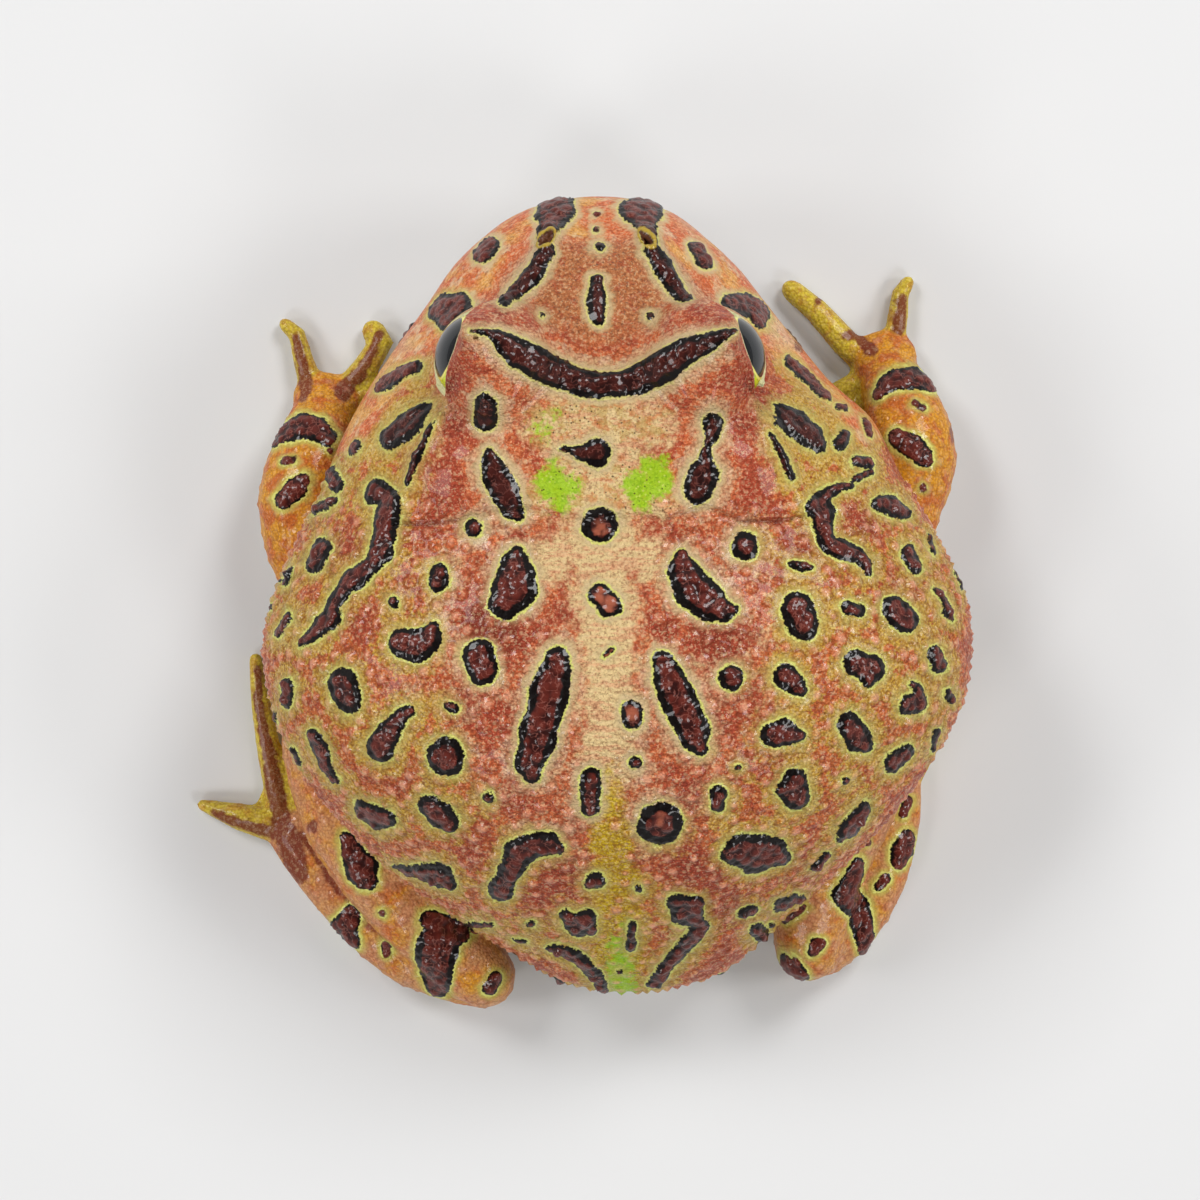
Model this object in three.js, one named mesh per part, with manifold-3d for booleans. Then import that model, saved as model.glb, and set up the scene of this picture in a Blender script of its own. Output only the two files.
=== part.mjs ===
// Argentine horned frog, squatting, life size.
// Millimetres, +Z up. The frog looks along -Y and its left side is at +X.
// The origin is on the floor, under the middle of the flat of the belly.

import * as THREE from 'three';
import { mergeVertices } from 'three/addons/utils/BufferGeometryUtils.js';
import Module from 'manifold-3d';

const wasm = await Module();
wasm.setup();

// Driving sizes
const GAP = 0.3;
const FLOOR = 0;
const UNDER_FLOOR = -2;
const SNOUT_Y = -56;
const VENT_Y = 55;
const SNOUT_ROUND = 12;
const VENT_ROUND = 12;
const LIP_INSET = 0.7;
const LEFT = 1;
const RIGHT = -1;

// Fineness of the meshes
const BODY_SIDES = 48;
const CROWDING = 0.12; // draws the points of a ring from its sides to its top
const END_RINGS = [0.15, 0.6, 1.3, 2.3, 3.6]; // distances of the close rings at both ends
const HEAD_RING_STEP = 2.4;
const BACK_RING_STEP = 4;
const SHEET_STEPS = 18;
const SHEET_REACH = 70;
// Sides of the section, and rings between two stops
const LIMB_FINENESS = [12, 2];
const PAW_FINENESS = [12, 2];
const DIGIT_FINENESS = [8, 1];
const BALL_FINENESS = 16;
const BROW_FINENESS = 20;
const SMALL_FINENESS = 10;
const CAP_RINGS = [38, 70]; // degrees round the end of a limb
const HEAD_END_Y = -12; // the rings lie closer in front of this
const POINTS_COINCIDE = 1e-4;

// The body from snout to vent: [y, value] at each place where the outline turns.
// The last few millimetres at both ends are rounded by endRounding().
const WIDTH_LEFT = [
  [-56, 19.6], [-51, 19], [-45.6, 21.3], [-40, 24.9], [-34.6, 28.9], [-27.6, 33.3], [-20.7, 36.7],
  [-13.8, 39.2], [-5.5, 43.2], [2.8, 46], [9, 46.4], [20, 43.5], [27.5, 38.4], [36.2, 30.4],
  [41.3, 24.2], [46.4, 17.4], [50, 14.4], [55, 12.4],
];
const WIDTH_RIGHT = [
  [-56, 17.8], [-51, 17], [-45.6, 20], [-40, 24.2], [-34.6, 28.6], [-30, 32.4], [-25.3, 37.8],
  [-18.4, 41.2], [-9.4, 46.2], [0, 50.6], [8, 51.2], [15.2, 49.6], [24.9, 44], [33.3, 37],
  [42.3, 28], [47, 24], [55, 26],
];
const TOP = [
  [-56, 28], [-51, 31.4], [-45.6, 35.2], [-40, 38.2], [-33, 41.6], [-25, 43.4], [-15, 44.2],
  [-8, 45.4], [0, 48], [10, 50], [20, 49], [30, 44.6], [41, 35], [46.4, 29.4], [51, 25.5], [55, 23],
];
const BOTTOM = [
  [-56, 8], [-51, 6], [-45.6, 5], [-35, 3.6], [-25, 2], [-16, 0], [-8, -2], [36, -2], [43, 0], [49, 4], [55, 7],
];
const WIDEST = [
  [-56, 18.5], [-45, 18.2], [-35, 17.6], [-25, 18], [-15, 20.5], [0, 22.5], [20, 22.5], [35, 20], [45, 16], [55, 13],
];
// 1 is an ellipse, more is a tent with a rounded ridge, less is a box with rounded edges.
const TENT = [
  [-56, 1.05], [-48, 1.2], [-41, 1.3], [-33, 1.15], [-26, 0.95], [-19, 0.86], [-8, 0.95], [10, 1], [55, 1],
];
const KEEL = [[-56, 1.1], [-30, 1], [0, 0.9], [55, 1]];
const MIDLINE_X = [[-56, 0], [-20, 0], [10, -1.4], [30, -2], [55, -2.8]];

// Low swells and hollows of the upper side: place, reach and lift.
// Those with a pair are repeated on the other side.
const SWELLS = [
  { x: 7.2, y: -48.8, reachX: 4, reachY: 4.2, lift: 1.9, pair: true }, // nostril mound
  { x: 8.6, y: -45, reachX: 3.2, reachY: 4, lift: 0.9, pair: true }, // canthal ridge
  { x: 10.8, y: -41, reachX: 3.6, reachY: 4, lift: 1, pair: true }, // canthal ridge by the eye
  { x: 17, y: -44, reachX: 6, reachY: 6, lift: -1.2, pair: true }, // hollow of the cheek
  { x: 16, y: -33, reachX: 11, reachY: 12, lift: 2.2, pair: true }, // rise round the eye
  { x: 0, y: -33, reachX: 9, reachY: 10, lift: -1, pair: false }, // saddle between the eyes
  { x: 19.5, y: -18.5, reachX: 10, reachY: 8.5, lift: 2.6, pair: true }, // temporal pad
  { x: 0, y: -17, reachX: 9, reachY: 6, lift: -0.7, pair: false }, // hollow of the nape
  { x: 0, y: -8.6, reachX: 30, reachY: 3.4, lift: -0.9, pair: false }, // groove behind the skull
  { x: 31, y: -7, reachX: 9, reachY: 12, lift: 1.4, pair: true }, // shoulder blade
  { x: 0, y: 14, reachX: 12, reachY: 34, lift: -0.8, pair: false }, // furrow over the spine
  { x: 13, y: 38, reachX: 8, reachY: 9, lift: 1.3, pair: true }, // hip bone
];

// Head
const MOUTH_LINE = [[-62, 17.6], [-52, 17.2], [-42, 15.8], [-32, 13.8], [-24, 12.6], [-16, 13.4], [-6, 15]];
const NECK_LINE = [[-62, -27], [-38, -22.5], [-27, -14.5], [-12, -11], [0, -10.6], [12, -11], [27, -14.5], [38, -22.5], [62, -27]];
const EYE_RADIUS = 6.4;
const EYE_CENTRE = [16, -32.4, 36.6];
const GAZE_FORWARD = 22; // degrees from straight out to the side
const GAZE_UP = 12;
const LID_RADIUS = 7.5;
const LID_INWARD = 0.6;
const EYE_OPENING = [6.4, 6.4, 4.1]; // half sizes: depth, length, height
const EYE_OPENING_OUT = 5.1;
const BROW_CENTRE = [13.1, -31.2, 38.6];
const BROW_SIZE = [7.8, 9.4, 7.2];
const BROW_MARGIN = 0.8; // the eyelid's piece reaches this far past the boss
const HORN_TIP = [18.4, -35.6, 47.6];
const HORN_SHARPNESS = 14;
const LID_CUT_INNER = [5, 46]; // x and z where the cut under the eyelid starts
const LID_CUT_OUTER = [25, 37.4];
const LID_CUT_HEIGHT = 16;
const LID_CUT_FRONT_Y = -43;
const LID_CUT_BACK_Y = -20;
const NOSTRIL = [7.3, -49.2, 30.7];
const NOSTRIL_RIM = [1.7, 2.4, 1.2];
const NOSTRIL_PIT = [0.7, 1.3, 1.8];
const NOSTRIL_PIT_SHIFT = [0.5, -0.3, 0.8];
const NOSTRIL_TURN = 35;

// Limbs: each stop is [x, y, z, half width, half height], given for the side at +X.
const ARMS = [
  {
    side: LEFT,
    upperArm: [[27, -12, 16, 7, 7.5], [35, -8.6, 12, 7.2, 7.4], [40, -7, 9, 6.2, 6.4]],
    forearm: [[40.8, -6.4, 8.4, 6.3, 6.6], [41.7, -14, 7.6, 6.9, 7], [40.6, -21, 6.4, 6, 5.9], [39.8, -26, 4.4, 4.5, 4]],
    hand: [[39.8, -26, 3.8, 4.4, 3.5], [39, -29.2, 2.6, 4.9, 2.8], [38.8, -30.4, 2, 4.2, 2.2]],
    fingers: [
      [[36.4, -26, 1.8, 2, 2], [31.5, -25.4, 1.6, 1.7, 1.8], [27.5, -24.6, 1.3, 1.3, 1.5]],
      [[36, -28.6, 1.8, 2, 2], [31, -30, 1.6, 1.7, 1.8], [26.6, -31.4, 1.3, 1.3, 1.5]],
      [[36.6, -29.6, 1.9, 2.2, 2.1], [33.4, -33.4, 2, 1.9, 2], [31.4, -36.8, 1.9, 2, 1.9], [32.4, -38.4, 1.6, 1.8, 1.7]],
      [[41.2, -30.4, 1.8, 2.1, 2], [42.4, -34.2, 1.7, 1.5, 1.7], [43.4, -38, 1.4, 1.3, 1.5], [45, -39.4, 1.2, 1, 1.3]],
    ],
  },
  {
    side: RIGHT,
    upperArm: [[28, -14, 16, 7, 7.5], [36.5, -13, 12, 7.2, 7.4], [42, -12.4, 9.2, 6.2, 6.4]],
    forearm: [[41.8, -12.2, 8.6, 6.2, 6.6], [43.8, -20, 7.8, 6.9, 7], [43, -27, 6.2, 5.7, 5.6], [41.4, -32, 4.2, 4.3, 3.9]],
    hand: [[41.4, -32, 3.8, 4.2, 3.4], [40.6, -35, 2.7, 4.7, 2.8], [40.4, -36.4, 2.1, 4.2, 2.2]],
    fingers: [
      [[38.4, -29.6, 1.8, 2, 2], [34.2, -25.6, 1.6, 1.7, 1.8], [30.4, -22.8, 1.3, 1.3, 1.5]],
      [[38, -31.6, 1.8, 2, 2], [33, -29, 1.6, 1.7, 1.8], [28.4, -27.6, 1.3, 1.4, 1.5]],
      [[38.6, -33.6, 1.9, 2.3, 2.1], [35, -36.8, 2.2, 2.1, 2.1], [30.9, -41.4, 2, 1.8, 1.8], [27.5, -44.3, 1.5, 1.6, 1.6]],
      [[42, -36.4, 1.8, 2, 2], [42.6, -40.6, 1.7, 1.5, 1.7], [43, -43.8, 1.4, 1.3, 1.5], [44, -45.4, 1.2, 1, 1.3]],
    ],
  },
];
const LEGS = [
  {
    side: LEFT,
    thigh: [[13, 38, 15, 7, 7.5], [26.4, 31, 13, 7.4, 7.6], [38, 22, 10.6, 6, 6.2]],
    shank: [[39.4, 19.6, 8.4, 6, 6.2], [35.4, 31, 9.8, 6.7, 6.8], [25.8, 44, 9.4, 6.2, 6], [16.8, 53, 7, 5, 5.6]],
    foot: [[18, 54, 4.4, 4, 4.4], [27, 51.2, 4, 4, 4.2], [35, 44.2, 3.6, 4, 3.9], [40.8, 36.6, 3, 4.4, 3.2], [43.6, 32.6, 2.4, 4.3, 2.6]],
    toes: [
      [[40.4, 33.2, 1.8, 1.8, 2], [36.8, 28.6, 1.5, 1.5, 1.7], [34.2, 25, 1.2, 1.1, 1.3]],
      [[42, 31.6, 1.8, 1.8, 2], [39.6, 24.8, 1.5, 1.5, 1.7], [37.8, 19.4, 1.2, 1.1, 1.3]],
      [[44, 30.6, 1.8, 1.8, 2], [43.2, 21, 1.5, 1.5, 1.7], [42.4, 13, 1.2, 1.1, 1.3]],
      [[45.4, 30, 1.8, 2.2, 2], [47.2, 22.4, 1.7, 1.8, 1.9], [48.5, 15, 1.4, 1.5, 1.6], [49.3, 8.6, 1.1, 1, 1.2]],
      [[46.6, 32.2, 1.8, 2.6, 2.2], [51.6, 31, 1.7, 2, 1.9], [56.8, 29.4, 1, 0.9, 1.1]],
    ],
    spade: [36.6, 37.6, 1.8],
  },
  {
    side: RIGHT,
    thigh: [[17, 38, 15, 7, 7.5], [28.4, 29, 13, 7.2, 7.4], [38, 19, 10.6, 6, 6.2]],
    shank: [[40, 15.4, 8.4, 6, 6.2], [36.2, 27, 9.6, 6.6, 6.8], [31, 38.6, 9.6, 6.2, 6], [29.6, 48.8, 7.4, 5.2, 5.6]],
    foot: [[31, 50, 4.4, 4, 4.4], [35.2, 47, 4, 4, 4.2], [39.6, 39.5, 3.6, 4.2, 3.9], [41.5, 30.6, 3, 4.4, 3.2], [41.8, 26, 2.4, 4.2, 2.6]],
    toes: [
      [[38, 25.6, 1.8, 1.8, 2], [35, 20.6, 1.5, 1.5, 1.7], [33, 16.6, 1.2, 1.1, 1.3]],
      [[39.8, 24.4, 1.8, 1.8, 2], [37.6, 17.2, 1.5, 1.5, 1.7], [36, 11.4, 1.2, 1.1, 1.3]],
      [[41.4, 24, 1.8, 1.8, 2], [40.6, 14.6, 1.5, 1.5, 1.7], [39.6, 6.8, 1.2, 1.1, 1.3]],
      [[43, 24.2, 1.8, 2, 2], [44.2, 15.4, 1.7, 1.6, 1.9], [44.6, 8, 1.4, 1.4, 1.6], [44.2, 2.6, 1.1, 1, 1.2]],
      [[43.8, 26.6, 1.8, 2, 2], [46.2, 22.4, 1.6, 1.5, 1.7], [47.4, 17, 1.1, 1, 1.2]],
    ],
    spade: [37, 32, 1.8],
  },
];
const SPADE_SIZE = [1.6, 2.8, 1.6]; // digging tubercle of the foot
const SPADE_TURN = 40;
const WEB_SHARE = 0.42; // the web reaches this far along each toe
const WEB_NOTCH = 0.22; // its edge curves back to this share between the toes
const WEB_BOTTOM = 0.4;
const WEB_THICK = 1.1;

// A smooth curve through [place, value] pairs, read as value = curve(place).
function profile(pairs) {
  const last = pairs.length - 1;
  const slope = (i) => {
    const [before, after] = [pairs[Math.max(i - 1, 0)], pairs[Math.min(i + 1, last)]];
    return (after[1] - before[1]) / (after[0] - before[0]);
  };
  return (place) => {
    if (place <= pairs[0][0]) return pairs[0][1];
    if (place >= pairs[last][0]) return pairs[last][1];
    const i = pairs.findIndex((pair) => pair[0] > place) - 1;
    const step = pairs[i + 1][0] - pairs[i][0];
    const t = (place - pairs[i][0]) / step;
    const rise = t * t * (3 - 2 * t);
    const start = t * (1 - t) * (1 - t) * step * slope(i);
    const finish = t * t * (1 - t) * step * slope(i + 1);
    return pairs[i][1] * (1 - rise) + pairs[i + 1][1] * rise + start - finish;
  };
}

// Joins rings of points, and the one point that closes each end, into a closed mesh.
function loft(rings, firstPoint, lastPoint) {
  const sides = rings[0].length;
  const points = [firstPoint, ...rings.flat(), lastPoint];
  const lastIndex = points.length - 1;
  const lastRing = 1 + (rings.length - 1) * sides;
  const faces = [];
  for (let k = 0; k < sides; k += 1) {
    const next = (k + 1) % sides;
    faces.push(0, 1 + k, 1 + next);
    for (let ring = 1; ring < lastRing; ring += sides) {
      faces.push(ring + k, ring + sides + k, ring + next);
      faces.push(ring + next, ring + sides + k, ring + sides + next);
    }
    faces.push(lastIndex, lastRing + next, lastRing + k);
  }
  const geometry = new THREE.BufferGeometry();
  geometry.setAttribute('position', new THREE.Float32BufferAttribute(points.flat(), 3));
  geometry.setIndex(faces);
  return geometry;
}

// Keeps only the positions and joins the points that coincide.
function plain(geometry) {
  const result = geometry.clone();
  result.deleteAttribute('normal');
  result.deleteAttribute('uv');
  return mergeVertices(result, POINTS_COINCIDE);
}

// Moves every point outwards along its normal; a negative distance shrinks.
function grown(geometry, distance) {
  const result = plain(geometry);
  result.computeVertexNormals();
  const at = result.attributes.position;
  const out = result.attributes.normal;
  for (let i = 0; i < at.count; i += 1) {
    at.setXYZ(
      i,
      at.getX(i) + out.getX(i) * distance,
      at.getY(i) + out.getY(i) * distance,
      at.getZ(i) + out.getZ(i) * distance,
    );
  }
  result.deleteAttribute('normal');
  return result;
}

// Solids for joining and cutting
function solidOf(geometry) {
  const merged = plain(geometry);
  return new wasm.Manifold(new wasm.Mesh({
    numProp: 3,
    vertProperties: new Float32Array(merged.attributes.position.array),
    triVerts: new Uint32Array(merged.index.array),
  }));
}

function largestOf(solid) {
  const pieces = solid.decompose();
  pieces.sort((a, b) => b.volume() - a.volume());
  return pieces[0];
}

function geometryOf(solid) {
  const mesh = largestOf(solid).getMesh();
  const geometry = new THREE.BufferGeometry();
  geometry.setAttribute('position', new THREE.BufferAttribute(mesh.vertProperties, 3));
  geometry.setIndex(new THREE.BufferAttribute(mesh.triVerts, 1));
  return geometry;
}

// 1 along the body, falling to 0 at the snout and the vent as a round end does.
function endRounding(y) {
  const fromSnout = Math.min((y - SNOUT_Y) / SNOUT_ROUND, 1);
  const fromVent = Math.min((VENT_Y - y) / VENT_ROUND, 1);
  return Math.sqrt(1 - (1 - fromSnout) ** 2) * Math.sqrt(1 - (1 - fromVent) ** 2);
}

function swellAt(x, y) {
  let lift = 0;
  for (const swell of SWELLS) {
    const across = ((swell.pair ? Math.abs(x) : x) - swell.x) / swell.reachX;
    const along = (y - swell.y) / swell.reachY;
    const far = across * across + along * along;
    if (far < 1) lift += swell.lift * (1 - far) ** 2;
  }
  return lift;
}

const body = {
  left: profile(WIDTH_LEFT),
  right: profile(WIDTH_RIGHT),
  top: profile(TOP),
  bottom: profile(BOTTOM),
  widest: profile(WIDEST),
  tent: profile(TENT),
  keel: profile(KEEL),
  midline: profile(MIDLINE_X),
};

// One ring of the body, seen from the front: from its left side over the top.
function bodyRing(y) {
  const closing = endRounding(y);
  const widest = body.widest(y);
  const midline = body.midline(y);
  const ring = [];
  for (let k = 0; k < BODY_SIDES; k += 1) {
    const turn = (2 * Math.PI * k) / BODY_SIDES;
    const angle = turn + CROWDING * Math.sin(2 * turn);
    const across = Math.cos(angle);
    const up = Math.sin(angle);
    const reach = across > 0 ? body.left(y) - midline : body.right(y) + midline;
    const x = midline + across * reach * closing;
    let z = widest;
    if (up > 0) {
      z += (body.top(y) - widest) * closing * up ** body.tent(y);
      z += swellAt(x - midline, y) * up * closing;
    } else {
      z -= (widest - body.bottom(y)) * closing * (-up) ** body.keel(y);
    }
    ring.push([x, y, Math.max(z, FLOOR)]);
  }
  return ring;
}

function bodyGeometry() {
  const rings = END_RINGS.map((place) => bodyRing(SNOUT_Y + place));
  const reach = END_RINGS[END_RINGS.length - 1];
  for (let y = SNOUT_Y + reach + HEAD_RING_STEP; y < HEAD_END_Y; y += HEAD_RING_STEP) rings.push(bodyRing(y));
  for (let y = HEAD_END_Y; y < VENT_Y - reach; y += BACK_RING_STEP) rings.push(bodyRing(y));
  rings.push(...[...END_RINGS].reverse().map((place) => bodyRing(VENT_Y - place)));
  const snout = [0, SNOUT_Y, body.widest(SNOUT_Y)];
  const vent = [body.midline(VENT_Y), VENT_Y, body.widest(VENT_Y)];
  return loft(rings, snout, vent);
}

// A thin curved sheet: a band along [a, b] pairs, drawn out straight to both sides.
function sheet(pairs, from, to, thickness) {
  const curve = profile(pairs);
  const [first, last] = [pairs[0][0], pairs[pairs.length - 1][0]];
  const step = (last - first) / SHEET_STEPS;
  const along = Array.from({ length: SHEET_STEPS + 1 }, (_, i) => first + step * i);
  const upper = along.map((place) => new THREE.Vector2(place, curve(place) + thickness / 2));
  const lower = along.map((place) => new THREE.Vector2(place, curve(place) - thickness / 2));
  const shape = new THREE.Shape([...upper, ...lower.reverse()]);
  const geometry = new THREE.ExtrudeGeometry(shape, { depth: to - from, bevelEnabled: false });
  return geometry.translate(0, 0, from);
}

// The mouth sheet lies in Y and Z and is drawn out along X.
function mouthSheet() {
  const geometry = sheet(MOUTH_LINE, -SHEET_REACH, SHEET_REACH, GAP);
  const turn = new THREE.Matrix4().makeBasis(
    new THREE.Vector3(0, 1, 0),
    new THREE.Vector3(0, 0, 1),
    new THREE.Vector3(1, 0, 0),
  );
  return geometry.applyMatrix4(turn);
}

function neckSheet() {
  return sheet(NECK_LINE, -SHEET_REACH, SHEET_REACH, GAP);
}

function ellipsoid(size, centre, turns, fineness) {
  const geometry = new THREE.SphereGeometry(1, fineness, fineness * 0.6);
  geometry.scale(...size);
  const [x, y, z] = turns.map(THREE.MathUtils.degToRad);
  geometry.applyMatrix4(new THREE.Matrix4().makeRotationFromEuler(new THREE.Euler(x, y, z, 'ZYX')));
  return geometry.translate(...centre);
}

function eyeBall(grow = 0) {
  const radius = EYE_RADIUS + grow;
  return ellipsoid([radius, radius, radius], EYE_CENTRE, [0, 0, 0], BALL_FINENESS);
}

// The ball of skin round the eye, which the opening turns into two lids.
function lidBall() {
  const [x, y, z] = EYE_CENTRE;
  return ellipsoid([LID_RADIUS, LID_RADIUS, LID_RADIUS], [x - LID_INWARD, y, z], [0, 0, 0], BALL_FINENESS);
}

function eyeOpening() {
  const [forward, up] = [GAZE_FORWARD, GAZE_UP].map(THREE.MathUtils.degToRad);
  const [x, y, z] = EYE_CENTRE;
  const centre = [
    x + EYE_OPENING_OUT * Math.cos(forward) * Math.cos(up),
    y - EYE_OPENING_OUT * Math.sin(forward) * Math.cos(up),
    z + EYE_OPENING_OUT * Math.sin(up),
  ];
  return ellipsoid(EYE_OPENING, centre, [0, -GAZE_UP, -GAZE_FORWARD], BALL_FINENESS);
}

// The boss over the eye, drawn out to the small horn at its outer front corner.
function brow() {
  const geometry = new THREE.SphereGeometry(1, BROW_FINENESS, BROW_FINENESS * 0.6);
  const horn = new THREE.Vector3(...HORN_TIP).sub(new THREE.Vector3(...BROW_CENTRE));
  horn.divide(new THREE.Vector3(...BROW_SIZE));
  const pull = horn.length() - 1;
  horn.normalize();
  const at = geometry.attributes.position;
  const point = new THREE.Vector3();
  for (let i = 0; i < at.count; i += 1) {
    point.fromBufferAttribute(at, i);
    const near = Math.max(point.dot(horn), 0) ** HORN_SHARPNESS;
    point.multiplyScalar(1 + pull * near);
    at.setXYZ(i, point.x, point.y, point.z);
  }
  return geometry.scale(...BROW_SIZE).translate(...BROW_CENTRE);
}

// The boss over the eye above a slanting cut: the eyelid's share of the head.
function eyelidRoom(side, grow) {
  const margin = BROW_MARGIN + grow;
  return onSide(grown(brow(), margin), side).intersect(onSide(eyelidBlock(grow), side));
}

// The room above the slanting cut under an eyelid.
function eyelidBlock(grow) {
  const [innerX, innerZ] = LID_CUT_INNER;
  const [outerX, outerZ] = LID_CUT_OUTER;
  const shape = new THREE.Shape([
    new THREE.Vector2(innerX - grow, innerZ + LID_CUT_HEIGHT),
    new THREE.Vector2(innerX - grow, innerZ - grow),
    new THREE.Vector2(outerX, outerZ - grow),
    new THREE.Vector2(outerX, innerZ + LID_CUT_HEIGHT),
  ]);
  const depth = LID_CUT_BACK_Y - LID_CUT_FRONT_Y + 2 * grow;
  const geometry = new THREE.ExtrudeGeometry(shape, { depth, bevelEnabled: false });
  geometry.rotateX(Math.PI / 2);
  return geometry.translate(0, LID_CUT_BACK_Y + grow, 0);
}

function nostrilRim() {
  return ellipsoid(NOSTRIL_RIM, NOSTRIL, [0, 0, NOSTRIL_TURN], SMALL_FINENESS);
}

function nostrilPit() {
  const centre = NOSTRIL.map((value, i) => value + NOSTRIL_PIT_SHIFT[i]);
  return ellipsoid(NOSTRIL_PIT, centre, [0, 0, NOSTRIL_TURN], SMALL_FINENESS);
}

// The same shape on the left (+X) or, mirrored, on the right.
function onSide(geometry, side) {
  const solid = solidOf(geometry);
  return side === LEFT ? solid : solid.mirror([1, 0, 0]);
}

// A round limb along a smooth path, rounded at both ends and flat where it meets the floor.
function limb(stops, grow, sides, stepsPerStop) {
  const floor = grow > 0 ? UNDER_FLOOR : FLOOR;
  const path = new THREE.CatmullRomCurve3(stops.map(([x, y, z]) => new THREE.Vector3(x, y, z)));
  const sizes = new THREE.CatmullRomCurve3(stops.map((stop) => new THREE.Vector3(stop[3], stop[4], 0)));
  const up = new THREE.Vector3(0, 0, 1);
  const ringAt = (u, shrink, beyond) => {
    const along = path.getTangent(u);
    const across = new THREE.Vector3().crossVectors(along, up).normalize();
    const over = new THREE.Vector3().crossVectors(across, along);
    const size = sizes.getPoint(u);
    const reach = (Math.min(size.x, size.y) + grow) * beyond;
    const centre = path.getPoint(u).addScaledVector(along, reach);
    return Array.from({ length: sides }, (_, k) => {
      const angle = (2 * Math.PI * k) / sides;
      const point = centre.clone()
        .addScaledVector(across, (size.x + grow) * shrink * Math.cos(angle))
        .addScaledVector(over, (size.y + grow) * shrink * Math.sin(angle));
      return [point.x, point.y, Math.max(point.z, floor)];
    });
  };
  const capAngles = CAP_RINGS.map(THREE.MathUtils.degToRad);
  const steps = (stops.length - 1) * stepsPerStop;
  const rings = [
    ...[...capAngles].reverse().map((angle) => ringAt(0, Math.cos(angle), -Math.sin(angle))),
    ...Array.from({ length: steps + 1 }, (_, i) => ringAt(i / steps, 1, 0)),
    ...capAngles.map((angle) => ringAt(1, Math.cos(angle), Math.sin(angle))),
  ];
  return loft(rings, ringAt(0, 0, -1)[0], ringAt(1, 0, 1)[0]);
}

// Pieces and colours
const frog = new THREE.Group();

function addPiece(name, solid, material) {
  const mesh = new THREE.Mesh(geometryOf(solid), material);
  mesh.name = name;
  frog.add(mesh);
}

function skin(colour) {
  return new THREE.MeshStandardMaterial({ color: colour, roughness: 0.42, metalness: 0 });
}
const backSkin = skin(0xc98a52);
const limbSkin = skin(0xd09a3c);
const jawSkin = skin(0xe2c9a0);
const eyeGloss = new THREE.MeshStandardMaterial({ color: 0x23251f, roughness: 0.08, metalness: 0 });

const sideName = (side) => (side === LEFT ? 'left' : 'right');

// Everything is cut from one body, so that head, jaw and torso keep one outline.
const wholeGeometry = bodyGeometry();
const wholeBody = solidOf(wholeGeometry);
const bodyRoom = solidOf(grown(wholeGeometry, GAP));

function buildHeadAndTorso() {
  const parted = wholeBody.subtract(solidOf(neckSheet())).decompose();
  parted.sort((a, b) => b.volume() - a.volume());
  const [torso, headWhole] = parted;
  const halves = headWhole.subtract(solidOf(mouthSheet())).decompose();
  halves.sort((a, b) => b.boundingBox().max[2] - a.boundingBox().max[2]);
  let head = halves[0];
  const jaw = halves[1].intersect(solidOf(grown(wholeGeometry, -LIP_INSET)));
  for (const side of [LEFT, RIGHT]) {
    head = head.add(onSide(brow(), side)).add(onSide(lidBall(), side)).add(onSide(nostrilRim(), side));
    head = head.subtract(onSide(eyeBall(GAP), side));
    head = head.subtract(onSide(eyeOpening(), side));
    head = head.subtract(onSide(nostrilPit(), side));
    addPiece(`eyelid_${sideName(side)}`, head.intersect(eyelidRoom(side, 0)), backSkin);
    head = head.subtract(eyelidRoom(side, GAP));
    addPiece(`eye_${sideName(side)}`, onSide(eyeBall(), side), eyeGloss);
  }
  addPiece('torso', torso, backSkin);
  addPiece('head', head, backSkin);
  addPiece('lower_jaw', jaw, jawSkin);
}

// Each piece of a limb is cut clear of the body and of the pieces before it.
// What is added to a piece, such as a web, keeps clear of its own neighbours.
function limbBuilder(side) {
  const before = [bodyRoom];
  return (name, stops, fineness, added = []) => {
    let solid = onSide(limb(stops, 0, ...fineness), side);
    for (const extra of added) solid = solid.add(extra);
    for (const other of before) solid = solid.subtract(other);
    addPiece(`${name}_${sideName(side)}`, solid, limbSkin);
    before.push(onSide(limb(stops, GAP, ...fineness), side));
  };
}

function buildArm({ side, upperArm, forearm, hand, fingers }) {
  const build = limbBuilder(side);
  build('upper_arm', upperArm, LIMB_FINENESS);
  build('forearm', forearm, LIMB_FINENESS);
  build('hand', hand, PAW_FINENESS);
  fingers.forEach((stops, i) => build(`finger_${i + 1}`, stops, DIGIT_FINENESS));
}

// The web between two toes, seen from above: out along one toe and back along the next.
function webGeometry(toeA, toeB) {
  const along = (toe, share) => {
    const curve = new THREE.CatmullRomCurve3(toe.map(([x, y]) => new THREE.Vector3(x, y, 0)));
    const point = curve.getPointAt(share);
    return new THREE.Vector2(point.x, point.y);
  };
  const [rootA, rootB] = [along(toeA, 0), along(toeB, 0)];
  const [edgeA, edgeB] = [along(toeA, WEB_SHARE), along(toeB, WEB_SHARE)];
  const notch = along(toeA, WEB_NOTCH).add(along(toeB, WEB_NOTCH)).multiplyScalar(0.5);
  const shape = new THREE.Shape();
  shape.moveTo(rootA.x, rootA.y);
  shape.lineTo(edgeA.x, edgeA.y);
  shape.quadraticCurveTo(notch.x, notch.y, edgeB.x, edgeB.y);
  shape.lineTo(rootB.x, rootB.y);
  const options = { depth: WEB_THICK, bevelEnabled: false, curveSegments: 6 };
  return new THREE.ExtrudeGeometry(shape, options).translate(0, 0, WEB_BOTTOM);
}

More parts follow.
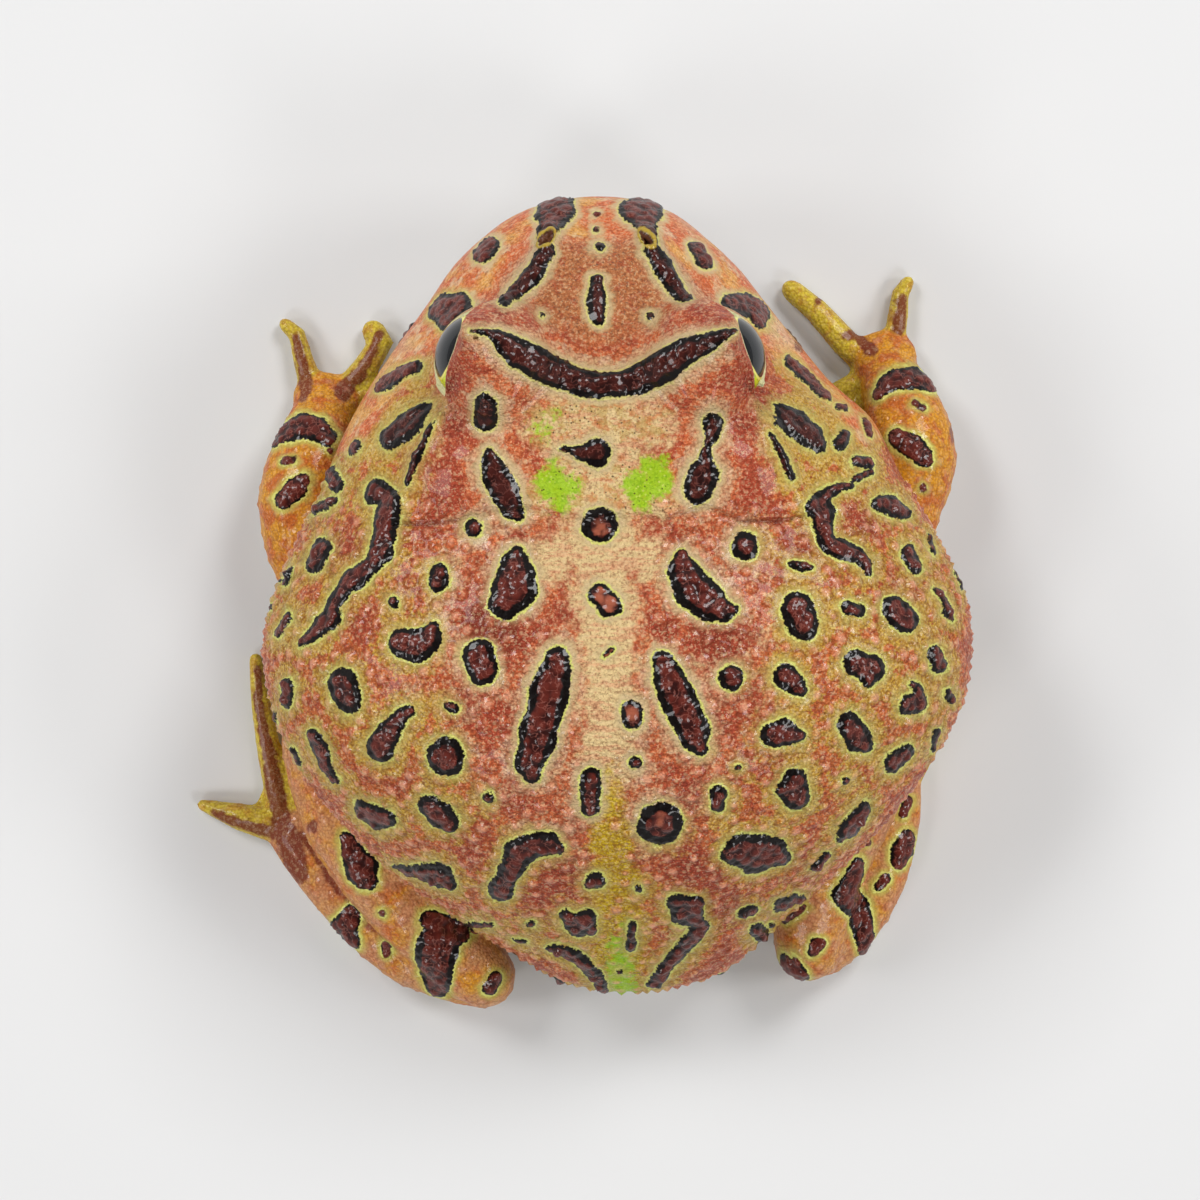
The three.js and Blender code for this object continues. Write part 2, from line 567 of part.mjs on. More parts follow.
function buildLeg({ side, thigh, shank, foot, toes, spade }) {
  const build = limbBuilder(side);
  build('thigh', thigh, LIMB_FINENESS);
  build('shank', shank, LIMB_FINENESS);
  const spadeSolid = onSide(ellipsoid(SPADE_SIZE, spade, [0, 0, SPADE_TURN], SMALL_FINENESS), side);
  build('foot', foot, PAW_FINENESS, [spadeSolid]);
  toes.forEach((stops, i) => {
    const webs = i > 0 ? [onSide(webGeometry(toes[i - 1], stops), side)] : [];
    build(`toe_${i + 1}`, stops, DIGIT_FINENESS, webs);
  });
}

buildHeadAndTorso();
ARMS.forEach(buildArm);
LEGS.forEach(buildLeg);

export default frog;
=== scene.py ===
# %% [markdown]
# # An Argentine horned frog, life size
#
# The frog squats on a plain floor and is seen from straight above. Its solids are the fixed frame that
# everything here is fitted to: they give its size, its pose and the place of each part. They have flat
# faces and narrow gaps, so this lesson casts one smooth skin from them, sculpts lids, lips, folds and
# warts into that skin, paints its marks with a procedural material and sets two wet eyes in it.

# %% Load the solid frog
import itertools
import math

import bmesh
import bpy
import numpy as np
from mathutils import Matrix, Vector
from mathutils.bvhtree import BVHTree
from mathutils.kdtree import KDTree


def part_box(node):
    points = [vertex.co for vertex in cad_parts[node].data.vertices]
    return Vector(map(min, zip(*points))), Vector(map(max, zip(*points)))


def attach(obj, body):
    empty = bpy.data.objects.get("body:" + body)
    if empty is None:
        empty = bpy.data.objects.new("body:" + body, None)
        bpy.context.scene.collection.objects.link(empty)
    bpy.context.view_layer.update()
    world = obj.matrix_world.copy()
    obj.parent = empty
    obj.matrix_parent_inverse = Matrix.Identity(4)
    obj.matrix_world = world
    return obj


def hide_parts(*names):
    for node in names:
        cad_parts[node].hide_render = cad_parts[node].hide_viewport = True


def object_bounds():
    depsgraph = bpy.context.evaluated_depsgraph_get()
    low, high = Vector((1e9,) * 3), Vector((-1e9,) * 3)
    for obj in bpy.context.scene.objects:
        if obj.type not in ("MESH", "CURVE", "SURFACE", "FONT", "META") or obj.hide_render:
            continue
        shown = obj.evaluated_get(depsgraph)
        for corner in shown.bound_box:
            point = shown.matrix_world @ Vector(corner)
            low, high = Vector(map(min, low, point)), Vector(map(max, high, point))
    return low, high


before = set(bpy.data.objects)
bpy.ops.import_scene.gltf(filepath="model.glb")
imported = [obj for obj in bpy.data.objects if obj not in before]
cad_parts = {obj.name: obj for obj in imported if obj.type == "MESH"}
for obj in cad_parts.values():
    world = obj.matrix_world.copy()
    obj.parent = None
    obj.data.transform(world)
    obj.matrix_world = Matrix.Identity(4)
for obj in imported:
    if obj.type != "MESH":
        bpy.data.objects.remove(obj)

MM = 0.001
solid_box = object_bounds()
solid_size = [high - low for low, high in zip(*solid_box)]
print("solids:", len(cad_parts), "nodes,", [round(side / MM, 1) for side in solid_size], "mm")

# %% [markdown]
# ## Camera
#
# The picture was taken from straight above, with the snout towards its upper edge. A camera can be
# aimed with a constraint or by typing its place and turn. Here it is typed, because every mark on the
# back is later found along a line of sight from this one point. Lengths are in millimetres from here
# on, and a picture position is counted in pixels of a square picture, from its upper left corner.

# %% Camera straight above
PICTURE_SIDE = 1200
CAMERA_HEIGHT = 600.0
PICTURE_SPAN = 165.0
PICTURE_LEVEL = 25.0
SENSOR_WIDTH = 36.0


def add_camera():
    """A camera above the origin, whose picture spans PICTURE_SPAN at the height PICTURE_LEVEL."""
    data = bpy.data.cameras.new("camera")
    data.sensor_width = SENSOR_WIDTH
    data.lens = SENSOR_WIDTH * (CAMERA_HEIGHT - PICTURE_LEVEL) / PICTURE_SPAN
    camera = bpy.data.objects.new("camera", data)
    camera.location = (0, 0, CAMERA_HEIGHT * MM)
    camera.rotation_euler = (0, 0, math.pi)
    bpy.context.scene.collection.objects.link(camera)
    bpy.context.scene.camera = camera
    return camera


camera = add_camera()
print("lens:", round(camera.data.lens, 1), "mm")

# %% Pixels and lines of sight
PIXEL = PICTURE_SPAN / PICTURE_SIDE / (CAMERA_HEIGHT - PICTURE_LEVEL)


def sight_line(across, down):
    """The direction from the camera through a picture position."""
    middle = PICTURE_SIDE / 2
    return Vector(((middle - across) * PIXEL, (down - middle) * PIXEL, -1))


def picture_place(points):
    """The picture position of each point, as the camera sees it."""
    scale = 1 / (PIXEL * (CAMERA_HEIGHT - points[:, 2]))
    middle = PICTURE_SIDE / 2
    return np.column_stack((middle - points[:, 0] * scale, middle + points[:, 1] * scale))


print("one pixel at that height:", round(PIXEL * (CAMERA_HEIGHT - PICTURE_LEVEL), 4), "mm")

# %% [markdown]
# ## One skin over all the solids
#
# A frog has one unbroken skin from lip to toe. It could be modelled from a cage of quads, but the
# solids already have every form in its place. So the skin is cast from them, as a mould maker would:
# each solid is swelled a little to close the gaps, all are joined, and a voxel remesh wraps them in
# one even mesh. Later the skin shrinks by the same amount.

# %% Swell and join the solids
SWELL = 0.35
WELD = 1e-3


def swelled_solid(name, amount):
    """A copy of a solid as a bmesh in millimetres, each vertex moved outwards by amount."""
    solid = bmesh.new()
    solid.from_mesh(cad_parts[name].data)
    bmesh.ops.scale(solid, vec=(1 / MM, 1 / MM, 1 / MM), verts=solid.verts)
    bmesh.ops.remove_doubles(solid, verts=solid.verts, dist=WELD)
    solid.normal_update()
    places = [vert.co + vert.normal * amount for vert in solid.verts]
    for vert, place in zip(solid.verts, places):
        vert.co = place
    return solid


def joined_solids():
    """All the solids in one mesh, and the node name that each face came from."""
    joined = bpy.data.meshes.new("joined")
    whole = bmesh.new()
    owners = []
    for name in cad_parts:
        solid = swelled_solid(name, 0 if name.startswith("eye_") else SWELL)
        part = bpy.data.meshes.new("part")
        solid.to_mesh(part)
        owners += [name] * len(solid.faces)
        solid.free()
        whole.from_mesh(part)
        bpy.data.meshes.remove(part)
    whole.to_mesh(joined)
    whole.free()
    return joined, owners


joined, owners = joined_solids()
print("joined:", len(joined.vertices), "vertices,", len(owners), "faces")

# %% Wrap them in one even mesh
VOXEL = 0.4


def largest_surface(mesh):
    """Deletes every loose surface of the mesh but the largest, such as the walls of sealed gaps."""
    whole = bmesh.new()
    whole.from_mesh(mesh)
    waiting = set(whole.verts)
    surfaces = []
    while waiting:
        front = [waiting.pop()]
        surface = list(front)
        while front:
            near = {edge.other_vert(vert) for vert in front for edge in vert.link_edges}
            front = list(near & waiting)
            waiting.difference_update(front)
            surface += front
        surfaces.append(surface)
    surfaces.sort(key=len)
    for surface in surfaces[:-1]:
        bmesh.ops.delete(whole, geom=surface, context="VERTS")
    whole.to_mesh(mesh)
    whole.free()


def cast_skin(mesh):
    """A new object: the voxel remesh of the joined solids, in millimetres."""
    mould = bpy.data.objects.new("mould", mesh)
    bpy.context.scene.collection.objects.link(mould)
    remesh = mould.modifiers.new("wrap", "REMESH")
    remesh.mode = "VOXEL"
    remesh.voxel_size = VOXEL
    wrapped = mould.evaluated_get(bpy.context.evaluated_depsgraph_get())
    skin_mesh = bpy.data.meshes.new_from_object(wrapped)
    bpy.data.objects.remove(mould)
    largest_surface(skin_mesh)
    skin_mesh.name = "skin"
    skin = bpy.data.objects.new("skin", skin_mesh)
    bpy.context.scene.collection.objects.link(skin)
    return skin


skin = cast_skin(joined)
print("cast:", len(skin.data.vertices), "vertices,", len(skin.data.polygons), "faces")

# %% Read and write points
def read_points(mesh):
    """The mesh's vertices as rows of x, y, z."""
    flat = np.empty(len(mesh.vertices) * 3)
    mesh.vertices.foreach_get("co", flat)
    return flat.reshape(-1, 3)


def read_normals(mesh):
    """The outward direction at each vertex."""
    flat = np.empty(len(mesh.vertices) * 3)
    mesh.vertex_normals.foreach_get("vector", flat)
    return flat.reshape(-1, 3)


def write_points(mesh, points):
    """Moves the mesh's vertices."""
    mesh.vertices.foreach_set("co", points.ravel())
    mesh.update()


def faces_as_lists(mesh):
    """Each face as a list of its vertex numbers."""
    return [list(face.vertices) for face in mesh.polygons]


points = read_points(skin.data)
print("skin spans", points.min(axis=0).round(1), "to", points.max(axis=0).round(1))

# %% Name the part under each point
def nearest_parts(points):
    """The name of the solid nearest to each point."""
    tree = BVHTree.FromPolygons([vert.co for vert in joined.vertices], faces_as_lists(joined))
    return np.array([owners[tree.find_nearest(Vector(point))[2]] for point in points])


parts = nearest_parts(points)
print("points on the torso:", int((parts == "torso").sum()), "of", len(parts))

# %% [markdown]
# ## Smooth the cast
#
# The cast still shows the flat faces of the solids. A subdivision surface can't round them, as the
# mesh has no cage. Averaging each point with its neighbours does, the more often the wider. One pass
# alone would shrink the frog, so what the passes took away is smoothed too and put back. Broad plates
# get the widest smoothing, fingers and lids little, and the creases between body and limbs least.

# %% Average of the neighbours
def edge_ends(mesh):
    """Both vertex numbers of each edge."""
    flat = np.empty(len(mesh.edges) * 2, dtype=np.int64)
    mesh.edges.foreach_get("vertices", flat)
    return flat.reshape(-1, 2).T


class Neighbours:
    """Averages values over the edges of a mesh."""

    def __init__(self, mesh):
        self.start, self.end = edge_ends(mesh)
        self.count = len(mesh.vertices)
        self.degree = self.total(np.ones(len(self.start)), np.ones(len(self.start)))

    def total(self, from_start, from_end):
        """Adds up at each vertex what its edges bring."""
        at_end = np.bincount(self.end, weights=from_start, minlength=self.count)
        at_start = np.bincount(self.start, weights=from_end, minlength=self.count)
        return at_end + at_start

    def mean(self, values):
        """The mean of each vertex's neighbours, for a row of numbers or for rows of x, y, z."""
        if values.ndim == 2:
            return np.column_stack([self.mean(column) for column in values.T])
        return self.total(values[self.start], values[self.end]) / self.degree

    def relax(self, values, passes, pull=0.5):
        """Moves values towards their neighbours' mean, passes times."""
        pull = pull[:, None] if np.ndim(pull) and values.ndim == 2 else pull
        for _ in range(passes):
            values = values + pull * (self.mean(values) - values)
        return values


neighbours = Neighbours(skin.data)
print("edges:", len(neighbours.start))

# %% How wide each part is smoothed
SMOOTH_WIDTH = {
    "torso": 2.7, "head": 2.2, "lower_jaw": 2.4, "eyelid": 0.7, "eye": 0.4,
    "upper_arm": 1.3, "forearm": 1.2, "hand": 0.8, "finger": 0.35,
    "thigh": 1.5, "shank": 1.3, "foot": 0.9, "toe": 0.35,
}
WIDEST = max(SMOOTH_WIDTH.values())
FULL_PULL = 0.5
SMOOTH_PASSES = round(2 * WIDEST ** 2 / (FULL_PULL * VOXEL ** 2))


def kind_of(part):
    """The part's name without its side and number, such as toe for toe_3_left."""
    return next(kind for kind in sorted(SMOOTH_WIDTH, key=len, reverse=True) if part.startswith(kind))


def value_by_kind(parts, values):
    """One number for each point, from a table by kind of part."""
    names, which = np.unique(parts, return_inverse=True)
    return np.array([values[kind_of(name)] for name in names])[which]


def distance_to(points, places, reach):
    """How far each point is from the nearest of the places, at most reach."""
    tree = KDTree(len(places))
    for number, place in enumerate(places):
        tree.insert(place, number)
    tree.balance()
    return np.array([min(tree.find(point)[2], reach) for point in points])


LID_ROOT_WIDTH = 2.2
LID_ROOT_REACH = 3.6
LID_ROOT_INSIDE = 12.5


def lid_root(points, parts):
    """1 where a lid's boss rises from the top of the head, between the eyes, and 0 farther than the reach."""
    on_lid = np.char.startswith(parts, "eyelid")
    step = (on_lid[neighbours.start] & (parts[neighbours.end] == "head")) | (
        on_lid[neighbours.end] & (parts[neighbours.start] == "head"))
    border = points[neighbours.start[step]]
    border = border[np.abs(border[:, 0]) < LID_ROOT_INSIDE]
    return 1 - distance_to(points, border, LID_ROOT_REACH) / LID_ROOT_REACH


print("passes:", SMOOTH_PASSES, "for a width of", WIDEST, "mm")

# %% Where limbs lie against the body
CREASE_REACH = 4.0
LIMB_GROUPS = ["thigh", "shank", "foot", "toe", "upper_arm", "forearm", "hand", "finger"]
SAME_LIMB = {"toe": "foot", "finger": "arm", "hand": "arm", "forearm": "arm", "upper_arm": "arm"}


def group_of(part):
    """Parts of one group run into each other without a crease."""
    kind = kind_of(part)
    if kind not in LIMB_GROUPS:
        return "body"
    return SAME_LIMB.get(kind, kind) + ("_left" if part.endswith("left") else "_right")


def group_numbers(parts):
    """The number of each point's group, and the groups' names."""
    names, which = np.unique(parts, return_inverse=True)
    groups = [group_of(name) for name in names]
    order = sorted(set(groups))
    return np.array([order.index(group) for group in groups])[which], order


groups, group_names = group_numbers(parts)
on_border = groups[neighbours.start] != groups[neighbours.end]
border_places = (points[neighbours.start[on_border]] + points[neighbours.end[on_border]]) / 2
crease = distance_to(points, border_places, CREASE_REACH)
print("groups:", group_names, "with", int(on_border.sum()), "edges between them")

# %% Smooth and put back what was lost
CREASE_SHARE = 0.25
BLEND_PASSES = 12


def smooth_keeping_size(points, pull):
    """Smooths the points, then adds the smoothed remainder, which keeps broad forms in place."""
    smooth = neighbours.relax(points, SMOOTH_PASSES, pull)
    return smooth + neighbours.relax(points - smooth, SMOOTH_PASSES, pull)


crease_share = CREASE_SHARE + (1 - CREASE_SHARE) * crease / CREASE_REACH
smooth_width = value_by_kind(parts, SMOOTH_WIDTH)
smooth_width = np.maximum(smooth_width, LID_ROOT_WIDTH * lid_root(points, parts))
width = neighbours.relax(smooth_width * crease_share, BLEND_PASSES)
pull = FULL_PULL * (width / WIDEST) ** 2
points = smooth_keeping_size(points, pull)
write_points(skin.data, points)
print("smoothed, pull from", pull.min().round(3), "to", pull.max().round(3))

# %% Shrink back and set the belly on the floor
write_points(skin.data, points - SWELL * read_normals(skin.data))
points = read_points(skin.data)
print("lowest point before the floor:", points[:, 2].min().round(2), "mm")
points[:, 2] = np.maximum(points[:, 2], 0)
write_points(skin.data, points)

# %% [markdown]
# ## The line of the mouth
#
# The solids part the head from the lower jaw along the mouth. On the skin that border is only a
# change of part name from one point to the next, in steps as wide as a voxel. Smoothing a value that is
# 1 above and -1 below turns the steps into an even ramp, and the ramp turned back into millimetres
# says how far each point is above the mouth. The lips are shaped from that number.

# %% Height above the mouth
MOUTH_WIDTH = 1.0
FAR = 9.0
MOST_RATIO = 0.995
LEAST_PRESENCE = 0.05
ERROR_FUNCTION_FIT = 0.147


def passes_for(width):
    """How many full passes smooth over this width."""
    return max(1, round(2 * width ** 2 / (FULL_PULL * VOXEL ** 2)))


def ramp_to_distance(ratio, width):
    """Turns a smoothed step between -1 and 1 back into a distance, by the inverse of the error function."""
    ratio = np.clip(ratio, -MOST_RATIO, MOST_RATIO)
    log = np.log(1 - ratio ** 2)
    half = 2 / (math.pi * ERROR_FUNCTION_FIT) + log / 2
    root = np.sqrt(np.sqrt(half ** 2 - log / ERROR_FUNCTION_FIT) - half)
    return np.sign(ratio) * root * width * math.sqrt(2)


def height_above_mouth():
    """Distance from the mouth line, above it positive, and FAR away from the lips."""
    in_head = np.isin(parts, ["head", "lower_jaw"]).astype(float)
    above = np.where(parts == "lower_jaw", -1.0, 1.0) * in_head
    passes = passes_for(MOUTH_WIDTH)
    presence = neighbours.relax(in_head, passes)
    ratio = neighbours.relax(above, passes) / np.maximum(presence, LEAST_PRESENCE)
    distance = ramp_to_distance(ratio, MOUTH_WIDTH)
    near = (presence > 0.5) & (np.abs(ratio) < MOST_RATIO)
    return np.where(near, distance, FAR)


mouth = height_above_mouth()
print("points within a millimetre of the mouth line:", int((np.abs(mouth) < 1).sum()))

# %% [markdown]
# ## Unwrap before the detail
#
# Colours can be baked through a flat map of the skin. It is made now, while the skin is still smooth,
# because an automatic unwrap of a warty surface would fall into thousands of scraps.

# %% Unwrap the smooth skin
UNWRAP_ANGLE = 1.15
UNWRAP_MARGIN = 0.004


def unwrap(piece, name):
    """An automatic unwrap of the piece, in a map of that name."""
    piece.data.uv_layers.new(name=name)
    bpy.context.view_layer.objects.active = piece
    piece.select_set(True)
    bpy.ops.object.mode_set(mode="EDIT")
    bpy.ops.mesh.select_all(action="SELECT")
    bpy.ops.uv.smart_project(angle_limit=UNWRAP_ANGLE, island_margin=UNWRAP_MARGIN)
    bpy.ops.object.mode_set(mode="OBJECT")
    piece.select_set(False)


unwrap(skin, "OFBake")
print("maps:", [layer.name for layer in skin.data.uv_layers])

# %% [markdown]
# ## A finer mesh on the face
#
# The even mesh has a point every 0.4 mm, which is enough for a wart but not for the edge of a lid.
# Splitting every edge of the frog would make it heavy. Here the edges are split twice, and only round
# the eyes, nostrils and lips, which brings the points there to a tenth of a millimetre apart.

# %% Numbers kept on the skin
def write_field(mesh, name, values):
    """Keeps one number for each point on the mesh, under a name that materials can read."""
    field = mesh.attributes.get(name) or mesh.attributes.new(name, "FLOAT", "POINT")
    field.data.foreach_set("value", np.asarray(values, dtype=np.float32))


def read_field(mesh, name):
    """The numbers kept under that name."""
    values = np.empty(len(mesh.vertices), dtype=np.float32)
    mesh.attributes[name].data.foreach_get("value", values)
    return values.astype(float)


REGIONS = {
    # the kinds of part in each region, and how many passes soften its border
    "limb": (LIMB_GROUPS, 6),
    "digit": (["finger", "toe"], 6),
    "head": (["head", "eyelid", "eye", "lower_jaw"], 20),
}
write_field(skin.data, "mouth", mouth)
for region, (kinds, passes) in REGIONS.items():
    inside = value_by_kind(parts, {kind: float(kind in kinds) for kind in SMOOTH_WIDTH})
    write_field(skin.data, region, neighbours.relax(inside, passes))
print("fields:", [field.name for field in skin.data.attributes if field.data_type == "FLOAT"])

# %% Places on the face
NOSTRIL = np.array([7.4, -48.9, 30.7])
NOSTRIL_REACH = 3.2
EYE_REACH = 1.45
MIRROR = np.array([-1.0, 1.0, 1.0])


def eye_ball(side):
    """Centre and radius of an eye, from the box of its solid."""
    low, high = (np.array(corner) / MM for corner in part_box("eye_" + side))
    return (low + high) / 2, (high - low).min() / 2


eye_centre, eye_radius = eye_ball("left")
print("eye:", eye_centre.round(2), "radius", eye_radius.round(2))


def on_each_side(place):
    """The place on the frog's left, and its mirror image on the right."""
    return [place, place * MIRROR]


# %% Split the edges on the face
LIP_BAND = 1.6


def split_where(mesh, wanted):
    """Splits every edge whose ends are both wanted."""
    whole = bmesh.new()
    whole.from_mesh(mesh)
    edges = [edge for edge in whole.edges if wanted[edge.verts[0].index] and wanted[edge.verts[1].index]]
    bmesh.ops.subdivide_edges(whole, edges=edges, cuts=1, use_grid_fill=True)
    whole.to_mesh(mesh)
    whole.free()


def near_face_features(points, lip_band):
    """Which points are close to an eye, a nostril or the mouth line."""
    near = np.abs(read_field(skin.data, "mouth")) < lip_band
    for centre in on_each_side(eye_centre):
        near |= np.linalg.norm(points - centre, axis=1) < eye_radius * EYE_REACH
    for centre in on_each_side(NOSTRIL):
        near |= np.linalg.norm(points - centre, axis=1) < NOSTRIL_REACH
    return near


for band in (LIP_BAND, LIP_BAND / 2):
    split_where(skin.data, near_face_features(read_points(skin.data), band))
points = read_points(skin.data)
neighbours = Neighbours(skin.data)
mouth = read_field(skin.data, "mouth")
print("skin:", len(points), "points after splitting")

# %% [markdown]
# ## Find places on the skin
#
# Marks, folds and stripes are placed by where they are seen in the picture. A ray from the camera
# through that position finds the spot on the skin, at its true height, so the mark also looks right
# from the side. What the camera can't see is placed by rays from the front, side or back.

# %% Rays onto the skin
RAY_START = 200.0


def renew_rays():
    """Rays meet the skin as it is now."""
    global skin_tree
    skin_tree = BVHTree.FromPolygons([tuple(point) for point in points], faces_as_lists(skin.data))


def hit(start, direction):
    """Where a ray first meets the skin, or the nearest skin to where it passes the frog."""
    place, _, _, _ = skin_tree.ray_cast(Vector(start), Vector(direction).normalized())
    if place is None:
        beside = Vector(start) + Vector(direction) * (start[2] - PICTURE_LEVEL)
        place = skin_tree.find_nearest(beside)[0]
    return np.array(place)


def seen_at(across, down):
    """The skin at a picture position."""
    return hit((0, 0, CAMERA_HEIGHT), sight_line(across, down))


def seen_from_front(x, z):
    """The skin at a width and a height, seen from the front."""
    return hit((x, -RAY_START, z), (0, 1, 0))


def seen_from_side(side, y, z):
    """The skin at a length and a height, seen from the left (side 1) or the right (side -1)."""
    return hit((side * RAY_START, y, z), (-side, 0, 0))


def seen_from_back(x, z):
    """The skin at a width and a height, seen from behind."""
    return hit((x, RAY_START, z), (0, -1, 0))


renew_rays()
print("top of the head:", seen_at(600, 420).round(1))

# %% Lines drawn on the skin
LINE_STEP = 0.4


def trace(corners):
    """Places on the skin, close together, along straight stretches between picture positions."""
    places = []
    for (x0, y0), (x1, y1) in itertools.pairwise(corners):
        steps = max(2, round(math.hypot(x1 - x0, y1 - y0) * PIXEL * CAMERA_HEIGHT / LINE_STEP))
        for share in np.linspace(0, 1, steps, endpoint=False):
            places.append(seen_at(x0 + (x1 - x0) * share, y0 + (y1 - y0) * share))
    places.append(seen_at(*corners[-1]))
    return np.array(places)


def distance_near(points, places, reach):
    """How far each point is from the nearest place, at most reach, quick for few places."""
    close = ((points > places.min(axis=0) - reach) & (points < places.max(axis=0) + reach)).all(axis=1)
    distance = np.full(len(points), float(reach))
    distance[close] = distance_to(points[close], places, reach)
    return distance


def bell(distance, width):
    """1 at no distance, falling away smoothly over the width."""
    return np.exp(-(distance / width) ** 2)


def rise(values, low, high):
    """0 up to low, 1 from high on, and an even curve between them."""
    share = np.clip((values - low) / (high - low), 0, 1)
    return share * share * (3 - 2 * share)


BROW_LINE = [(461, 331), (497, 332), (533, 350), (553, 366), (579, 377), (601, 382), (625, 377),
             (650, 365), (670, 351), (700, 337), (731, 333)]
brow_places = trace(BROW_LINE)
print("brow line:", len(brow_places), "places, highest at", brow_places[:, 2].max().round(1), "mm")

# %% [markdown]
# ## Ridges and folds
#
# A horned frog's skull shows under the skin: a crest runs from horn to horn, a ridge from each
# nostril to the eye, and the broad head plate ends behind in a thin overhanging fold. Each is a line
# traced on the skin. Points near it move out along the skin's direction, or in for a groove.

# %% Push the skin along its direction
def lift_skin(amount):
    """Moves each point outwards by its own amount."""
    global points
    points = points + amount[:, None] * read_normals(skin.data)
    write_points(skin.data, points)


print("height of the brow before its crest:", seen_at(*BROW_LINE[5])[2].round(2), "mm")

# %% Crest, nose ridges and temple ridges
NOSE_RIDGES = [
    [(552, 234), (541, 256), (526, 279), (508, 300)],
    [(646, 234), (660, 256), (674, 279), (690, 300)],
]
TEMPLE_RIDGES = [
    [(443, 408), (428, 436), (414, 468), (402, 505)],
    [(764, 412), (779, 445), (790, 475), (799, 505)],
]
CREST_LIFT = 1.7
CREST_FRONT = 1.3
CREST_BACK = 3.4
CREST_LOSS = 0.6
HORN_SPAN = (6, 15)
NOSE_LIFT = 0.55
NOSE_WIDTH = 1.3
TEMPLE_LIFT = 0.8
TEMPLE_WIDTH = 1.5


def ridge(places, lift, width):
    """An even ridge along a line."""
    return lift * bell(distance_near(points, places, 3 * width), width)


def crest():
    """The brow crest: steep towards the snout, sloping off backwards, and lower towards the horns."""
    order = np.argsort(brow_places[:, 0])
    line = np.interp(points[:, 0], brow_places[order, 0], brow_places[order, 1])
    distance = distance_near(points, brow_places, 3 * CREST_BACK)
    width = np.where(points[:, 1] < line, CREST_FRONT, CREST_BACK)
    return CREST_LIFT * bell(distance, width) * (1 - CREST_LOSS * rise(np.abs(points[:, 0]), *HORN_SPAN))


lift = crest()
for line in NOSE_RIDGES:
    lift += ridge(trace(line), NOSE_LIFT, NOSE_WIDTH)
for line in TEMPLE_RIDGES:
    lift += ridge(trace(line), TEMPLE_LIFT, TEMPLE_WIDTH)
lift_skin(lift)
print("ridges raised up to", lift.max().round(2), "mm")

# %% Fold behind the head plate
HEAD_FOLD = [(393, 522), (402, 523), (424, 524), (451, 521), (478, 515), (527, 508), (553, 514), (573, 516),
             (599, 521), (622, 515), (645, 514), (665, 519), (688, 511), (706, 508), (729, 516), (749, 521),
             (777, 521), (803, 516)]
FOLD_STEP = 0.55
FOLD_REACH = 5.0
FOLD_EDGE = 0.22
FOLD_DEPTH = 0.42
FOLD_WIDTH = 0.42
SPINE_SHARE = 0.25
SPINE_SPAN = (5, 13)


def fold_lift(places):
    """The head plate stands above the neck, with a tight crease where it ends, shallow at the spine."""
    across = np.sort(places, axis=0)[:, 0]
    along = places[np.argsort(places[:, 0]), 1]
    behind = points[:, 1] - np.interp(points[:, 0], across, along)
    distance = distance_near(points, places, FOLD_REACH)
    plate = FOLD_STEP * rise(-distance, -FOLD_REACH, 0) * (1 - rise(behind, -FOLD_EDGE, FOLD_EDGE))
    depth = FOLD_DEPTH * (SPINE_SHARE + (1 - SPINE_SHARE) * rise(np.abs(points[:, 0]), *SPINE_SPAN))
    return plate - depth * bell(distance, FOLD_WIDTH)


fold_places = trace(HEAD_FOLD)
fold = distance_near(points, fold_places, FOLD_REACH)
lift_skin(fold_lift(fold_places))
print("head fold:", len(fold_places), "places")

# %% Lips
LIP_BANDS = {
    # how far it stands out, its height above the mouth line and its width
    "groove": (-0.9, 0.0, 0.28),
    "upper lip": (0.42, 1.3, 1.0),
    "lower lip": (0.3, -1.1, 0.8),
}


def lip_lift(height):
    """A narrow groove with a fuller upper lip above it and a lower lip that tucks in below."""
    return sum(lift * bell(height - middle, width) for lift, middle, width in LIP_BANDS.values())


lift_skin(lip_lift(mouth))
print("deepest point of the mouth line:", lip_lift(mouth).min().round(2), "mm")

# %% [markdown]
# ## Nostrils
#
# Each nostril is a small slanted pit in a low mound, with a raised rim. The pit is an oval in a
# plane that lies on the skin, so it is shaped by how far along and across that oval a point is.

# %% Nostril mounds, rims and pits
NOSTRIL_HALF = (1.35, 0.62)
NOSTRIL_SLANT = 32.0
NOSTRIL_DEPTH = 1.6
NOSTRIL_WALL = (0.25, 0.95)
NOSTRIL_TALL = 2.6
MOUND_LIFT = 0.4
MOUND_WIDTH = 3.0
NOSTRIL_EDGE = 1.1
EDGE_LIFT = 0.34
EDGE_WIDTH = 0.4
NOSTRIL_AT = (546.5, 242.5)
PICTURE_MIDLINE = 597


def oval_place(centre, slant, half):
    """For each point, its distance from a slanted oval's centre, counted as 1 on the oval's rim."""
    turn = math.radians(slant)
    away = points - centre
    along = away[:, 0] * math.sin(turn) + away[:, 1] * math.cos(turn)
    across = away[:, 0] * math.cos(turn) - away[:, 1] * math.sin(turn)
    deep = away[:, 2] / NOSTRIL_TALL
    return np.sqrt((along / half[0]) ** 2 + (across / half[1]) ** 2 + deep ** 4)


def nostril_lift(oval):
    """A mound, a rim and a pit."""
    mound = MOUND_LIFT * bell(oval, MOUND_WIDTH)
    rim = EDGE_LIFT * bell(oval - NOSTRIL_EDGE, EDGE_WIDTH)
    pit = -NOSTRIL_DEPTH * (1 - rise(oval, *NOSTRIL_WALL))
    return mound + rim + pit


nostril = np.full(len(points), FAR)
for side in (1, -1):
    centre = seen_at(PICTURE_MIDLINE - side * (PICTURE_MIDLINE - NOSTRIL_AT[0]), NOSTRIL_AT[1])
    oval = oval_place(centre, side * NOSTRIL_SLANT, NOSTRIL_HALF)
    nostril = np.minimum(nostril, oval)
    print("nostril at", centre.round(1))
lift_skin(nostril_lift(nostril))

